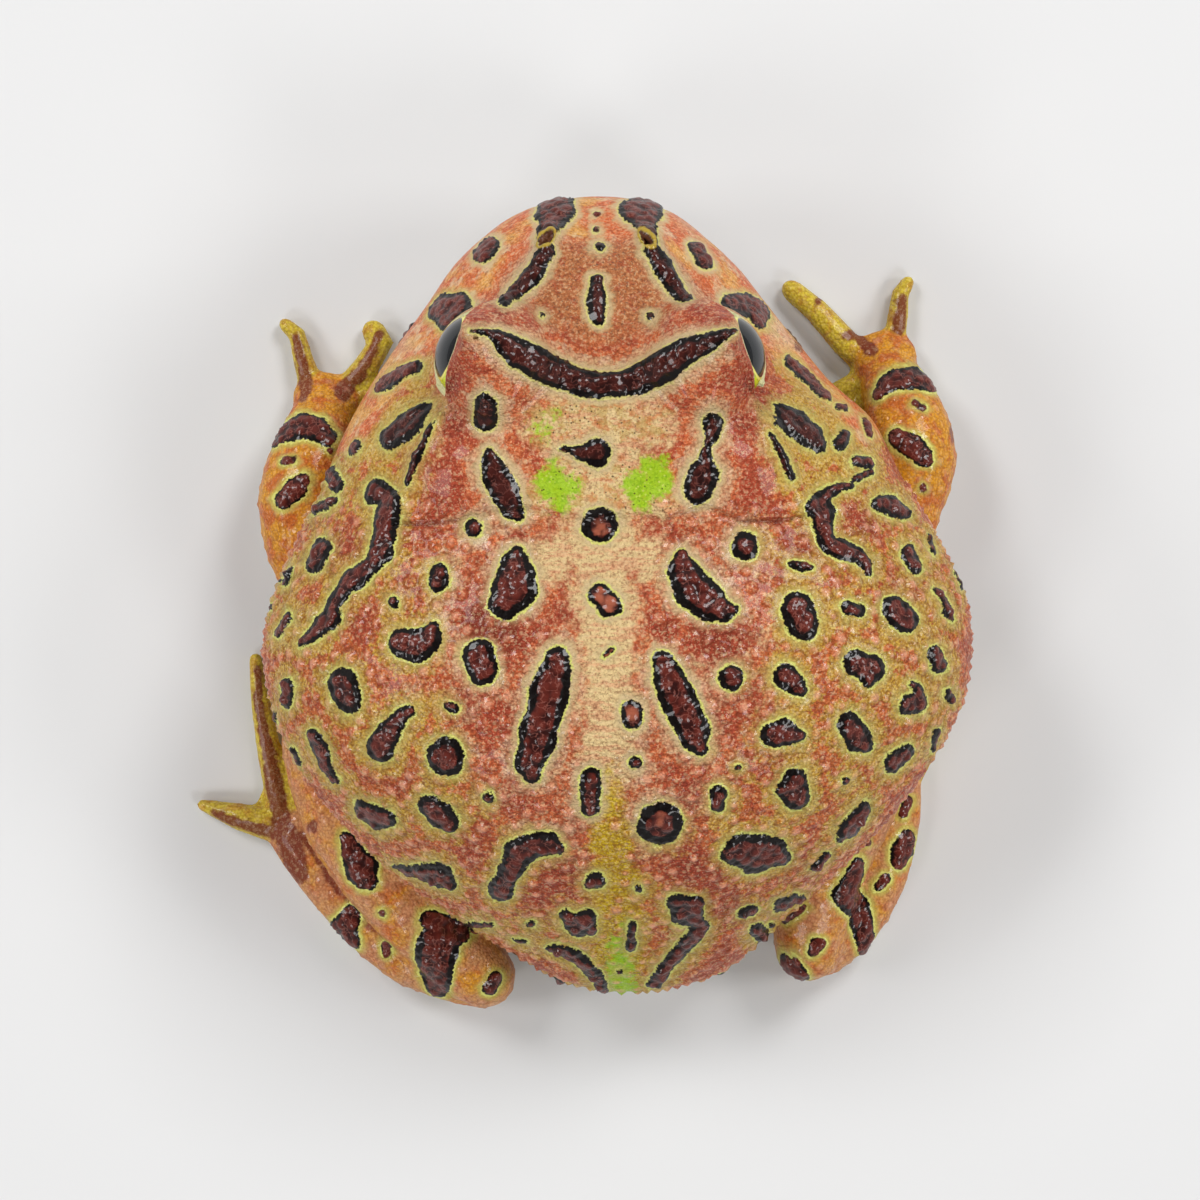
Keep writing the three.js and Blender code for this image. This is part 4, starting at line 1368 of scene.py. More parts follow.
# %% Raise the warts
tree_of_points = KDTree(len(points))
for number, point in enumerate(points):
    tree_of_points.insert(point, number)
tree_of_points.balance()


def wart_field(kinds, random):
    """The height that these kinds of warts add at each point, and how much of a wart each point is."""
    height = np.zeros(len(points))
    share = np.zeros(len(points))
    for name, tries, spacing, radii, heights, roundness in WARTS:
        if name not in kinds:
            continue
        allowed = np.flatnonzero(where[name])
        centres = sow(random.choice(allowed, min(tries, len(allowed)), replace=False), spacing)
        for centre in centres:
            radius = random.uniform(*radii)
            top = random.uniform(*heights)
            for _, number, distance in tree_of_points.find_range(points[centre], radius):
                rest = 1 - (distance / radius) ** roundness
                height[number] = max(height[number], top * rest ** roundness)
                share[number] = max(share[number], rest)
        print(name, "warts:", len(centres))
    return height, share


random = np.random.default_rng(WART_SEED)
warts, wart_share = wart_field(("back", "flank", "leg"), random)
lumps, lump_share = wart_field(("rim", "core"), random)
lift_skin(warts + lumps)

# %% Helpers for materials
def paint(text):
    """A colour written as on a screen, such as c86a3c, as the light values that a shader takes."""
    shares = [int(text[place:place + 2], 16) / 255 for place in (0, 2, 4)]
    linear = [share / 12.92 if share <= 0.04045 else ((share + 0.055) / 1.055) ** 2.4 for share in shares]
    return (*linear, 1)


def new_material(name):
    """An empty node material, and its node tree."""
    material = bpy.data.materials.new(name)
    material.use_nodes = True
    material.node_tree.nodes.clear()
    return material, material.node_tree


def place(tree, kind, sockets=None, **settings):
    """Adds a node. Each socket gets a value, or a link where an output is given."""
    node = tree.nodes.new(kind)
    for setting, value in settings.items():
        setattr(node, setting, value)
    for socket, value in (sockets or {}).items():
        if isinstance(value, bpy.types.NodeSocket):
            tree.links.new(value, node.inputs[socket])
        else:
            node.inputs[socket].default_value = value
    return node


def finish_surface(tree, shader):
    """Links a shader to the material's output."""
    place(tree, "ShaderNodeOutputMaterial", {"Surface": shader.outputs["BSDF"]})


print("a middle grey as light:", round(paint("808080")[0], 3))

# %% [markdown]
# ## Ground colours
#
# Between the marks the skin drifts from cream along the spine to brick red beside it, olive gold on
# the flanks, orange on the lips and green on the head. Each of these colours gets a soft field on the
# skin, made of round washes placed in the picture. The material breaks their edges up with noise.

# %% Soft washes of colour
# Each blot: across, down and radius in pixels, and strength.
RED_BLOTS = {
    "round_left_eye": [(462, 345, 16, 0.9), (450, 385, 20, 1.1), (455, 425, 28, 1), (478, 322, 20, 0.9)],
    "round_right_eye": [(738, 345, 16, 0.9), (752, 385, 20, 1.1), (745, 425, 28, 1), (722, 322, 20, 0.9)],
    "brow": [(560, 330, 22, 0.45), (640, 330, 22, 0.45), (600, 352, 22, 0.4), (500, 312, 22, 0.9),
             (700, 312, 22, 0.9), (532, 320, 22, 0.75), (668, 320, 22, 0.75)],
    "lid_tops": [(515, 405, 20, 0.45), (680, 400, 20, 0.5), (672, 385, 16, 0.6)],
    "left_temple": [(425, 460, 46, 0.75), (440, 500, 44, 0.8), (470, 440, 26, 0.7), (415, 430, 30, 0.5)],
    "right_temple": [(770, 460, 46, 0.55), (760, 500, 44, 0.6), (730, 450, 30, 0.6), (785, 430, 30, 0.4)],
    "left_shoulder": [(420, 535, 34, 0.75), (345, 545, 34, 0.75), (405, 590, 34, 0.7), (360, 620, 36, 0.7)],
    "right_shoulder": [(800, 545, 40, 0.8), (860, 520, 36, 0.8), (770, 570, 34, 0.7), (900, 590, 40, 0.7)],
    "left_of_spine": [(505, 640, 40, 1.1), (470, 700, 46, 0.8), (562, 612, 20, 0.9), (500, 720, 42, 0.8),
                      (480, 600, 42, 0.8), (538, 632, 22, 0.9), (512, 790, 40, 0.75), (575, 830, 30, 0.6),
                      (482, 622, 28, 1.7), (508, 632, 22, 1.4)],
    "right_of_spine": [(720, 640, 46, 1.1), (664, 628, 22, 1), (740, 700, 46, 0.8), (720, 720, 40, 0.8),
                       (690, 790, 40, 0.85), (760, 760, 50, 0.7), (830, 560, 40, 0.7)],
    "rump": [(560, 880, 42, 0.9), (690, 870, 44, 0.95), (640, 860, 24, 0.5), (800, 870, 42, 0.7),
             (540, 900, 30, 0.8), (730, 905, 40, 0.85), (714, 880, 18, 1), (470, 850, 42, 0.7)],
    "casque_joint": [(518, 535, 14, 1), (672, 535, 16, 1), (600, 425, 12, 0.6)],
}
CREAM_BLOTS = {
    "forehead": [(600, 425, 56, 1), (545, 425, 34, 0.7), (655, 425, 34, 0.7), (600, 480, 56, 1),
                 (540, 500, 30, 0.7), (660, 500, 30, 0.7)],
    "neck": [(600, 545, 56, 0.9), (555, 558, 34, 0.85), (648, 558, 34, 0.85), (602, 600, 44, 0.95)],
    "spine": [(608, 635, 34, 1.1), (610, 665, 32, 1.1), (608, 700, 34, 1.1), (606, 740, 34, 0.95),
              (608, 780, 32, 0.8)],
    "left_side": [(460, 560, 26, 0.4), (455, 600, 24, 0.3), (415, 690, 26, 0.4)],
    "cheeks": [(785, 330, 24, 0.8), (688, 220, 20, 0.5), (405, 345, 20, 0.5)],
    "right_side": [(760, 575, 24, 0.5), (700, 665, 18, 0.6), (760, 640, 24, 0.5), (770, 700, 28, 0.5)],
}
LIME_BLOTS = {
    "left_patch": [(552, 466, 14, 0.8), (552, 484, 20, 1.3), (570, 486, 15, 1.1), (560, 502, 16, 1.0)],
    "right_patch": [(650, 468, 16, 1.0), (638, 486, 19, 1.2), (658, 482, 19, 1.3), (642, 502, 15, 1.0),
                    (664, 460, 10, 0.9)],
    "faint_patch": [(543, 428, 20, 0.7), (556, 414, 14, 0.6)],
    "vent": [(620, 985, 19, 1.3), (621, 966, 18, 1.15), (617, 946, 16, 0.9), (628, 926, 13, 0.7)],
}
YELLOW_BLOTS = {
    "vent": [(618, 985, 26, 1.2), (620, 950, 28, 1.1), (617, 915, 27, 1), (614, 875, 26, 0.95),
             (611, 840, 26, 0.9), (609, 805, 22, 0.7), (606, 775, 18, 0.5)],
}
SNOUT_BLOTS = {
    "snout": [(600, 290, 56, 1), (572, 262, 24, 0.8), (626, 262, 24, 0.8), (560, 306, 30, 0.8),
              (640, 306, 30, 0.8)],
}
FACING_UP = (-0.35, -0.05)
picture = picture_place(points)
upward = read_normals(skin.data)[:, 2]


def wash(groups):
    """The strongest of the groups' blots at each point that faces up."""
    total = np.zeros(len(points))
    for across, down, radius, strength in itertools.chain(*groups.values()):
        distance = np.hypot(picture[:, 0] - across, picture[:, 1] - down) / radius
        total = np.maximum(total, strength * np.exp(-distance ** 2))
    return total * rise(upward, *FACING_UP)


WASHES = {"red": RED_BLOTS, "cream": CREAM_BLOTS, "lime": LIME_BLOTS, "yellow": YELLOW_BLOTS,
          "snout": SNOUT_BLOTS}
washes = {name: wash(groups) for name, groups in WASHES.items()}
print("share of the skin under red:", (washes["red"] > 0.5).mean().round(2))

# %% Keep the fields on the skin
lip_side = face * rise(-points[:, 2], -34, -27) * rise(points[:, 2], 8, 15)
belly = rise(-upward, 0.25, 0.75) * rise(14 - points[:, 2], 0, 5)
throat = rise(-mouth, 1.5, 7) * (mouth < FAR - 1)
from_spine = np.abs(points[:, 0])
behind_middle = np.maximum(points[:, 1], 0)
SKIN_FIELDS = {
    "mark": mark_distance,
    "core": core_distance,
    "orange_core": 1 - rise(orange_distance, -0.2, 0.3),
    "streak": streak_distance,
    **washes,
    "lip_side": lip_side,
    "belly": np.maximum(belly, throat),
    "flank": rise(np.hypot(from_spine, 0.6 * behind_middle), 13, 27),
    "hind": rise(points[:, 1], 0, 12),
    "wart": wart_share,
    "lump": lump_share,
    "opening": opening,
    "nostril": nostril,
    "fold": fold + 0.8 * (1 - rise(from_spine, 10, 20)),
}
for name, values in SKIN_FIELDS.items():
    write_field(skin.data, name, values)
print("fields:", len(SKIN_FIELDS), "and the belly's share:", (belly > 0.5).mean().round(3))

# %% [markdown]
# ## The skin's material
#
# One shader paints the whole frog. Its colours are laid in layers, from the pale ground up to the
# marks, and every layer asks one field where it belongs. A wet frog is glossy twice: a soft gloss from
# the skin and a sharp one from the film of water over it, which is the shader's coat.

# %% Helpers for layers
CLOUD_DETAIL = 4.0
CLOUD_ROUGHNESS = 0.7


class Layers:
    """Lays colours over each other in one material."""

    def __init__(self, name):
        self.material, self.tree = new_material(name)
        coordinates = place(self.tree, "ShaderNodeTexCoord").outputs["Object"]
        self.spot = self.scaled(coordinates, (1 / MM, 1 / MM, 1 / MM))
        self.colour = None

    def scaled(self, spot, scale):
        """A position counted in other units along each axis."""
        return place(self.tree, "ShaderNodeVectorMath", {0: spot, 1: scale}, operation="MULTIPLY").outputs[0]

    def field(self, name):
        """One of the numbers kept on the skin."""
        return place(self.tree, "ShaderNodeAttribute", attribute_name=name).outputs["Fac"]

    def noise(self, size, detail=2.0, stretch=None, roughness=0.5):
        """Cloudy values round 0.5, with clouds of that many millimetres."""
        spot = self.scaled(self.spot, stretch) if stretch else self.spot
        return place(self.tree, "ShaderNodeTexNoise", {
            "Vector": spot, "Scale": 1 / size, "Detail": detail, "Roughness": roughness}).outputs["Fac"]

    def cells(self, size, feature="F1"):
        """Distance to scattered grains of that many millimetres."""
        return place(self.tree, "ShaderNodeTexVoronoi", {"Vector": self.spot, "Scale": 1 / size},
                     feature=feature).outputs["Distance"]

    def maths(self, operation, first, second=0.0, third=0.0):
        """Arithmetic on numbers or outputs."""
        return place(self.tree, "ShaderNodeMath", {0: first, 1: second, 2: third},
                     operation=operation).outputs[0]

    def mixed(self, value, factor, offset):
        """The value times the factor, plus the offset."""
        return self.maths("MULTIPLY_ADD", value, factor, offset)

    def times(self, first, *others):
        """One share of another."""
        for other in others:
            first = self.maths("MULTIPLY", first, other)
        return first

    def grade(self, value, low, high, top=1.0):
        """0 at low, top at high, smooth between."""
        return place(self.tree, "ShaderNodeMapRange", {
            "Value": value, "From Min": low, "From Max": high, "To Min": 0.0, "To Max": top},
            interpolation_type="SMOOTHSTEP").outputs["Result"]

    def where(self, name, low, high, top=1.0):
        """0 where a field is low, top where it is high."""
        return self.grade(self.field(name), low, high, top)

    def clouds(self, size, low, high, top=1.0, stretch=None):
        """Ragged clouds of that many millimetres: 0 in the gaps, top in the middle of a cloud."""
        return self.grade(self.noise(size, CLOUD_DETAIL, stretch, CLOUD_ROUGHNESS), low, high, top)

    def lay(self, above, *shares):
        """Lays a colour over what is there, as strongly as all its shares multiplied."""
        if self.colour is None:
            self.colour = above
            return
        self.colour = place(self.tree, "ShaderNodeMix", {0: self.times(*shares), 6: self.colour, 7: above},
                            data_type="RGBA").outputs[2]


layers = Layers("frog_skin")
print("layers ready")

# %% Ground colours from noise
CREAM = paint("dcc08a")
SPINE_PINK = paint("d2906c")
PALE_BELLY = paint("e6dcc2")
OLIVE_GOLD = paint("c79d3a")
PALE_OLIVE = paint("e2cd7c")
GREEN_OLIVE = paint("9a8a26")
PINK_TAN = paint("cd9270")
PALE_PINK = paint("dcb190")
ORANGE = paint("cf6436")
BRICK = paint("a8402e")
DARK_RED = paint("74201a")
VENT_YELLOW = paint("c8aa14")
SPINE_STREAKS = (0.45, 1.8, 1.0)


def shifted(field, size, low, high, spread=0.9, top=1.0, roughness=0.6):
    """A field whose soft edge is broken into blotches by noise."""
    blotches = layers.noise(size, 3.0, roughness=roughness)
    moved = layers.mixed(blotches, spread, layers.maths("SUBTRACT", field, spread / 2))
    return layers.grade(moved, low, high, top)


def shifted_distance(name, size, amount):
    """A distance field, moved in and out by noise."""
    moved = layers.maths("SUBTRACT", layers.noise(size, 3.0), 0.5)
    return layers.mixed(moved, amount, layers.field(name))


def lay_ground():
    """Olive gold flanks, a pinker back, orange and brick away from the marks, cream along the spine."""
    layers.lay(OLIVE_GOLD)
    layers.lay(PALE_OLIVE, layers.clouds(1.3, 0.5, 0.62, 0.75))
    layers.lay(GREEN_OLIVE, layers.clouds(2.6, 0.52, 0.62, 0.8))
    inner = layers.where("flank", 0.95, 0.4, 0.9)
    layers.lay(PINK_TAN, inner)
    layers.lay(PALE_PINK, layers.clouds(1.4, 0.49, 0.6, 0.8), inner)
    away = layers.field("mark")
    layers.lay(ORANGE, shifted(away, 2.6, 1.6, 2.3, 6.5, 0.88, 0.74))
    layers.lay(BRICK, shifted(away, 1.2, 2.5, 3.3, 6.5, 0.8, 0.78))
    layers.lay(CREAM, shifted(layers.field("cream"), 1.8, 0.3, 0.7, 1.1))
    pink = layers.clouds(1.6, 0.47, 0.58, 0.65, SPINE_STREAKS)
    layers.lay(SPINE_PINK, pink, layers.where("cream", 0.2, 0.6))
    layers.lay(BRICK, shifted(layers.field("red"), 1.3, 0.3, 0.95, 1.6, 0.88))
    layers.lay(DARK_RED, shifted(layers.field("red"), 0.6, 0.7, 1.3, 2.0, 0.85))
    layers.lay(VENT_YELLOW, shifted(layers.field("yellow"), 1.4, 0.2, 0.6, 0.9, 0.95))
    layers.lay(ORANGE, layers.where("wart", 0.05, 0.6, 0.5), layers.grade(layers.noise(5.0), 0.46, 0.58))


lay_ground()
print("nodes so far:", len(layers.tree.nodes))

# %% Face and limbs
LIP_ORANGE = paint("d4652f")
LIP_GOLD = paint("dfa04c")
LIP_CREAM = paint("e0c8a2")
SNOUT_BROWN = paint("bd7648")
SNOUT_RED = paint("b04f35")
LIMB_GOLD = paint("d8951f")
LIMB_ORANGE = paint("c46026")
LIMB_LIME = paint("c2b83a")
DIGIT_LIME = paint("d2bf3a")
DIGIT_BROWN = paint("b8702c")
STREAK_BROWN = paint("6e2c22")
HIND_TAN = paint("c89068")


def lay_face():
    """A brown snout with red clouds, and orange lips with gold and cream."""
    layers.lay(SNOUT_BROWN, shifted(layers.field("snout"), 2.8, 0.25, 0.6, 0.4))
    layers.lay(SNOUT_RED, layers.clouds(1.6, 0.48, 0.64, 0.7), layers.where("snout", 0.2, 0.6))
    lips = layers.where("lip_side", 0.1, 0.5)
    layers.lay(LIP_ORANGE, lips)
    layers.lay(LIP_GOLD, layers.grade(layers.noise(4.5, 3.0), 0.45, 0.65), lips)
    cream = layers.noise(2.6, 4.0, roughness=0.65)
    layers.lay(LIP_CREAM, layers.grade(cream, 0.52, 0.66, 0.7), lips)
    layers.lay(LIP_CREAM, layers.where("cream", 0.2, 0.7, 0.6), lips)


def lay_limbs():
    """Gold limbs with orange blotches, tan on the hind legs, lime beside the marks, lime and brown
    digits, and dark brown streaks."""
    limb_here = layers.where("limb", 0.3, 0.7)
    layers.lay(LIMB_GOLD, limb_here)
    layers.lay(LIMB_ORANGE, layers.grade(layers.noise(2.6, 4.0), 0.44, 0.6, 0.85), limb_here)
    tan = layers.grade(layers.noise(3.5, 4.0), 0.3, 0.6, 0.75)
    layers.lay(HIND_TAN, layers.where("hind", 0.0, 1.0), limb_here, tan)
    layers.lay(LIMB_LIME, layers.where("mark", 0.85, 0.4, 0.75), limb_here)
    layers.lay(DIGIT_LIME, layers.where("digit", 0.1, 0.9, 0.9))
    layers.lay(DIGIT_BROWN, layers.grade(layers.noise(2.2, 4.0), 0.5, 0.62, 0.45), layers.field("digit"))
    layers.lay(STREAK_BROWN, layers.grade(shifted_distance("streak", 1.2, 1.2), 0.45, -0.1, 0.92))


lay_face()
lay_limbs()
layers.lay(PALE_BELLY, layers.where("belly", 0.1, 0.9))
print("nodes so far:", len(layers.tree.nodes))

# %% Painted light and shade on grains and pebbles
# Pale tops are painted light and dark gaps painted shade, on grains, noise, pebbles and round the feet of
# warts.
GRAIN_TOP_PAINTED_LIGHT = paint("e6c79a")
GRAIN_GAP_PAINTED_SHADE = paint("7a3a22")
GRAIN_SIZE = 0.42
PEBBLE_SIZE = 1.15


def lay_lit_tops_and_shaded_gaps(value, tops, gaps, share):
    """Painted light on the tops and painted shade in the gaps of grains, each graded from one value."""
    layers.lay(GRAIN_TOP_PAINTED_LIGHT, layers.grade(value, *tops), share)
    layers.lay(GRAIN_GAP_PAINTED_SHADE, layers.grade(value, *gaps), share)


def lay_grain_light_and_shade(off_limbs):
    """Painted light and shade on fine grains, finer noise and coarse pebbles, weak on the head and along the
    cream spine.
    """
    rough = layers.mixed(layers.where("head", 1.1, 0.6), 0.5, 0.5)
    rough = layers.times(rough, layers.where("cream", 1.1, 0.1))
    # Painted light on the tops and painted shade in the gaps, of the bumped grains, of fine noise and of
    # pebbles with no bump.
    lay_lit_tops_and_shaded_gaps(layers.cells(GRAIN_SIZE), (0.26, 0.04, 0.2), (0.4, 0.62, 0.3), rough)
    fine = layers.noise(0.5, 2.0, roughness=0.8)
    lay_lit_tops_and_shaded_gaps(fine, (0.52, 0.62, 0.38), (0.48, 0.38, 0.48), off_limbs)
    pebbles = layers.times(rough, off_limbs)
    lay_lit_tops_and_shaded_gaps(layers.cells(PEBBLE_SIZE), (0.36, 0.1, 0.34), (0.5, 0.75, 0.26), pebbles)


off_limbs = layers.mixed(layers.field("limb"), -0.6, 1.0)
lay_grain_light_and_shade(off_limbs)
print("nodes so far:", len(layers.tree.nodes))

# %% Head plate, warts and folds
LIME = paint("9ac41c")
LIME_SHADE = paint("6f9c1a")
LIME_DOT = paint("c6cf62")
MOTTLE = paint("b08c40")
MOTTLE_ORANGE = paint("c4713c")
PORE = paint("4a3a20")
GREY_SPECK = paint("6e4c3a")
# Wart tips: partly the warts' own paler colour, partly painted light on their tops.
WART_TIP_PALE_AND_LIT = paint("e8a584")
CREASE_SHADE = paint("5e281c")
LIP_LINE = paint("34150f")


def lay_head_plate():
    """Mottled cream, lime patches with pale dots, dark pores, and grey specks on the snout."""
    plate = layers.times(layers.where("cream", 0.3, 0.6), layers.field("head"))
    layers.lay(MOTTLE, layers.clouds(2.4, 0.5, 0.58, 0.5), plate)
    layers.lay(MOTTLE_ORANGE, layers.clouds(1.5, 0.52, 0.6, 0.55), plate)
    lime = shifted(layers.field("lime"), 0.8, 0.4, 0.9, 1.3, 0.9)
    layers.lay(LIME, lime)
    layers.lay(LIME_SHADE, lime, layers.clouds(0.7, 0.5, 0.62, 0.55))
    layers.lay(LIME_DOT, layers.grade(layers.cells(0.7), 0.3, 0.12, 0.7), layers.field("lime"))
    layers.lay(PORE, layers.grade(layers.cells(0.85), 0.2, 0.1, 0.85), plate)
    specks = layers.grade(layers.noise(0.35, 3.0), 0.55, 0.66, 0.7)
    layers.lay(GREY_SPECK, specks, layers.where("snout", 0.2, 0.6))


def lay_warts_and_folds(off_limbs):
    """Pale tips of the warts, partly their own paler colour and partly painted light on their tops, painted
    shade in the head's fold, and the dark line of the mouth.
    """
    # Pale wart tips, partly painted light.
    layers.lay(WART_TIP_PALE_AND_LIT, layers.where("wart", 0.4, 1.0, 0.65), layers.grade(layers.noise(3.0), 0.4, 0.58),
               off_limbs)
    layers.lay(CREASE_SHADE, layers.where("fold", 0.5, 0.1, 0.6))
    mouth_line = layers.maths("ABSOLUTE", layers.field("mouth"))
    layers.lay(LIP_LINE, layers.grade(mouth_line, 0.35, 0.1))


# Painted shade: a dark ring round the foot of each wart.
layers.lay(GRAIN_GAP_PAINTED_SHADE, layers.where("wart", 0.0, 0.08), layers.where("wart", 0.35, 0.12, 0.32))
lay_head_plate()
lay_warts_and_folds(off_limbs)
print("nodes so far:", len(layers.tree.nodes))

# %% Marks, from the halo inwards
HALO = paint("bcaa5c")
HALO_PALE = paint("cdb493")
LIME_LINE = paint("d3d272")
RIM_BLACK = paint("0a0403")
CORE_MAROON = paint("300f0c")
# Partly the core's own red, partly painted light on the tops of its lumps.
CORE_RED_AND_TOP_LIGHT = paint("62261d")
# Painted highlight along the core's crests.
CORE_CREST_HIGHLIGHT = paint("8c5247")
CORE_ORANGE = paint("a45a42")
HALO_WIDTH = 1.4
LINE_WIDTH = 0.3
LINE_BLUR = 0.12
RIM_BLUR = 0.07


def lay_rims():
    """A pale halo, a thin lime line inside it, and the black rim, which fills the mark."""
    ragged = shifted_distance("mark", 0.42, 0.75)
    halo = layers.grade(shifted_distance("mark", 1.1, 1.6), HALO_WIDTH, 0.3, 0.6)
    halo = layers.times(halo, layers.where("red", 1.5, 0.3))
    layers.lay(HALO, halo)
    layers.lay(HALO_PALE, halo, layers.where("flank", 0.6, 0.1))
    line = layers.grade(ragged, LINE_WIDTH + LINE_BLUR, LINE_WIDTH - LINE_BLUR)
    fainter_on_head = layers.mixed(layers.field("head"), -0.35, 0.95)
    layers.lay(LIME_LINE, line, fainter_on_head, layers.grade(layers.noise(2.0), 0.34, 0.5))
    layers.lay(RIM_BLACK, layers.grade(ragged, RIM_BLUR, -RIM_BLUR))


def lay_cores():
    """Maroon cores, their lump tops redder, partly by their own red and partly as painted light, or orange,
    with fine pale crests that are painted highlights. Black shows through on the head.
    """
    wide = layers.maths("MAXIMUM", layers.field("limb"), layers.field("lip_side"))
    core = layers.mixed(wide, -0.4, shifted_distance("core", 0.8, 0.9))
    top_of_head = layers.times(layers.field("head"), layers.where("lip_side", 0.5, 0.1))
    share = layers.mixed(top_of_head, -0.4, 1.0)
    in_core = layers.times(layers.grade(core, 0.12, -0.2), share)
    layers.lay(CORE_MAROON, in_core)
    lumps = layers.times(layers.where("lump", 0.35, 0.95, 0.9), share, in_core)
    # Lump tops redder and lighter: partly the core's own red, partly painted light.
    layers.lay(CORE_RED_AND_TOP_LIGHT, lumps)
    # Thin pale lines along noise crests are painted highlights on the core's ridges.
    crest = layers.maths("ABSOLUTE", layers.maths("SUBTRACT", layers.noise(1.1), 0.5))
    layers.lay(CORE_CREST_HIGHLIGHT, layers.grade(crest, 0.035, 0.01, 0.55), in_core)
    layers.lay(CORE_ORANGE, lumps, layers.field("orange_core"))


lay_rims()
lay_cores()
print("nodes so far:", len(layers.tree.nodes))

# %% Lid edges and nostrils
LID_LINE = paint("d6d0a0")
NOSTRIL_RIM = paint("b09434")
NOSTRIL_INSIDE = paint("6a3f2a")
# Painted shade deep in the nostril's pit.
NOSTRIL_PIT_SHADE = paint("24110c")


def lay_openings():
    """A thin pale line on the lids' edges, brown nostrils with golden rims, and painted shade deep in each
    pit.
    """
    layers.lay(LID_LINE, layers.where("opening", -0.24, -0.12), layers.where("opening", 0.22, 0.08))
    layers.lay(NOSTRIL_INSIDE, layers.where("nostril", 1.0, 0.8))
    layers.lay(NOSTRIL_RIM, layers.where("nostril", 1.32, 1.14), layers.where("nostril", 0.92, 1.04))
    # Painted shade at the bottom of each nostril.
    layers.lay(NOSTRIL_PIT_SHADE, layers.where("nostril", 0.6, 0.3))


lay_openings()
print("nodes so far:", len(layers.tree.nodes))

# %% Grain of the wet skin
SKIN_ROUGHNESS = 0.45
SKIN_GLOSS = 0.08
FILM_ROUGHNESS = 0.08
WETNESS = 0.2
MARK_WETNESS = 0.3
WART_WETNESS = 0.3
BUMP_DEPTH = 0.00026
BUMP_STRENGTH = 0.9
LEAST_BUMP = 0.12
CROSS_WRINKLES = (0.45, 2.4, 1.0)


def bump_share(on_mark):
    """How strong the grain stands: full on the plain back, weak on marks, limbs and lips."""
    smooth_here = layers.maths("MAXIMUM", layers.field("limb"), layers.where("lip_side", 0.1, 0.6))
    share = layers.mixed(smooth_here, -0.55, layers.mixed(on_mark, -0.68, 0.98))
    return layers.maths("MAXIMUM", share, LEAST_BUMP)


def skin_bump(on_mark):
    """Domed grains everywhere, finer noise on them, and cross wrinkles."""
    grain = layers.cells(GRAIN_SIZE)
    height = layers.times(grain, grain, -1.2)
    height = layers.mixed(layers.noise(0.22), 0.5, height)
    height = layers.mixed(layers.noise(0.8, 3.0, CROSS_WRINKLES), 0.8, height)
    return place(layers.tree, "ShaderNodeBump", {
        "Height": layers.times(bump_share(on_mark), height), "Strength": BUMP_STRENGTH,
        "Distance": BUMP_DEPTH}).outputs["Normal"]


def finish_skin():
    """The shader: a soft gloss under a sharp wet coat, wettest on the marks and warts."""
    on_mark = layers.where("mark", 0.1, -0.2)
    wet = layers.mixed(on_mark, MARK_WETNESS, WETNESS)
    wet = layers.mixed(layers.where("wart", 0.15, 0.6), WART_WETNESS, wet)
    shader = place(layers.tree, "ShaderNodeBsdfPrincipled", {
        "Base Color": layers.colour, "Roughness": SKIN_ROUGHNESS, "Normal": skin_bump(on_mark),
        "Specular IOR Level": SKIN_GLOSS, "Coat Weight": wet, "Coat Roughness": FILM_ROUGHNESS})
    finish_surface(layers.tree, shader)
    return layers.material


frog_skin = finish_skin()
skin.data.materials.append(frog_skin)
print("skin material:", len(layers.tree.nodes), "nodes")

# %% [markdown]
# ## The eyes
#
# The eye is a smooth ball, wide open: a dark sideways oval of a pupil in a lime-yellow iris with a
# net of dark lines. A ball with a texture would need an unwrap. Each point of this one keeps how far
# it is from the middle of the pupil instead, counted as 1 on the pupil's edge.

# %% Eyeball meshes
PUPIL_FORWARD = math.radians(20)
PUPIL_UP = math.radians(20)
PUPIL_HALF_WIDTH = math.radians(42)
PUPIL_HALF_HEIGHT = math.radians(38)
BALL_FINENESS = 5


def pupil_distance(places, side):
    """How far each point on the ball is from the pupil's middle, counted as 1 on its edge."""
    gaze = np.array([math.cos(PUPIL_FORWARD) * math.cos(PUPIL_UP) * side,
                     -math.sin(PUPIL_FORWARD) * math.cos(PUPIL_UP), math.sin(PUPIL_UP)])
    level = np.cross((0, 0, 1), gaze)
    level /= np.linalg.norm(level)
    above = np.cross(gaze, level)
    ahead = places @ gaze
    width = np.arctan2(places @ level, ahead) / PUPIL_HALF_WIDTH
    height = np.arctan2(places @ above, ahead) / PUPIL_HALF_HEIGHT
    return np.hypot(width, height)


def add_eye(side_name, side):
    """One eyeball in the place of its solid."""
    centre, radius = eye_ball(side_name)
    ball = bmesh.new()
    bmesh.ops.create_icosphere(ball, subdivisions=BALL_FINENESS, radius=radius * MM)
    mesh = bpy.data.meshes.new("eyeball_" + side_name)
    ball.to_mesh(mesh)
    ball.free()
    write_field(mesh, "pupil", pupil_distance(read_points(mesh) / (radius * MM), side))
    write_points(mesh, read_points(mesh) + centre * MM)
    mesh.shade_smooth()
    eye = bpy.data.objects.new("eyeball_" + side_name, mesh)
    bpy.context.scene.collection.objects.link(eye)
    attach(eye, "root")
    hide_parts("eye_" + side_name)
    return eye


eyes = [add_eye("left", 1), add_eye("right", -1)]
print("eyeballs:", [len(eye.data.vertices) for eye in eyes])

# %% Eye material
PUPIL_BLACK = paint("0d0f12")
# Painted reflection: a grey sheen in the pupil.
PUPIL_PAINTED_SHEEN = paint("1c2026")
IRIS_LIME = paint("c8d41c")
IRIS_GOLD = paint("8f8a1e")
IRIS_NET = paint("17170c")
IRIS_RING = paint("e6dd6a")
EYE_ROUGHNESS = 0.2
EYE_GLOSS = 0.2
EYE_FILM = 0.6
EYE_FILM_ROUGHNESS = 0.02


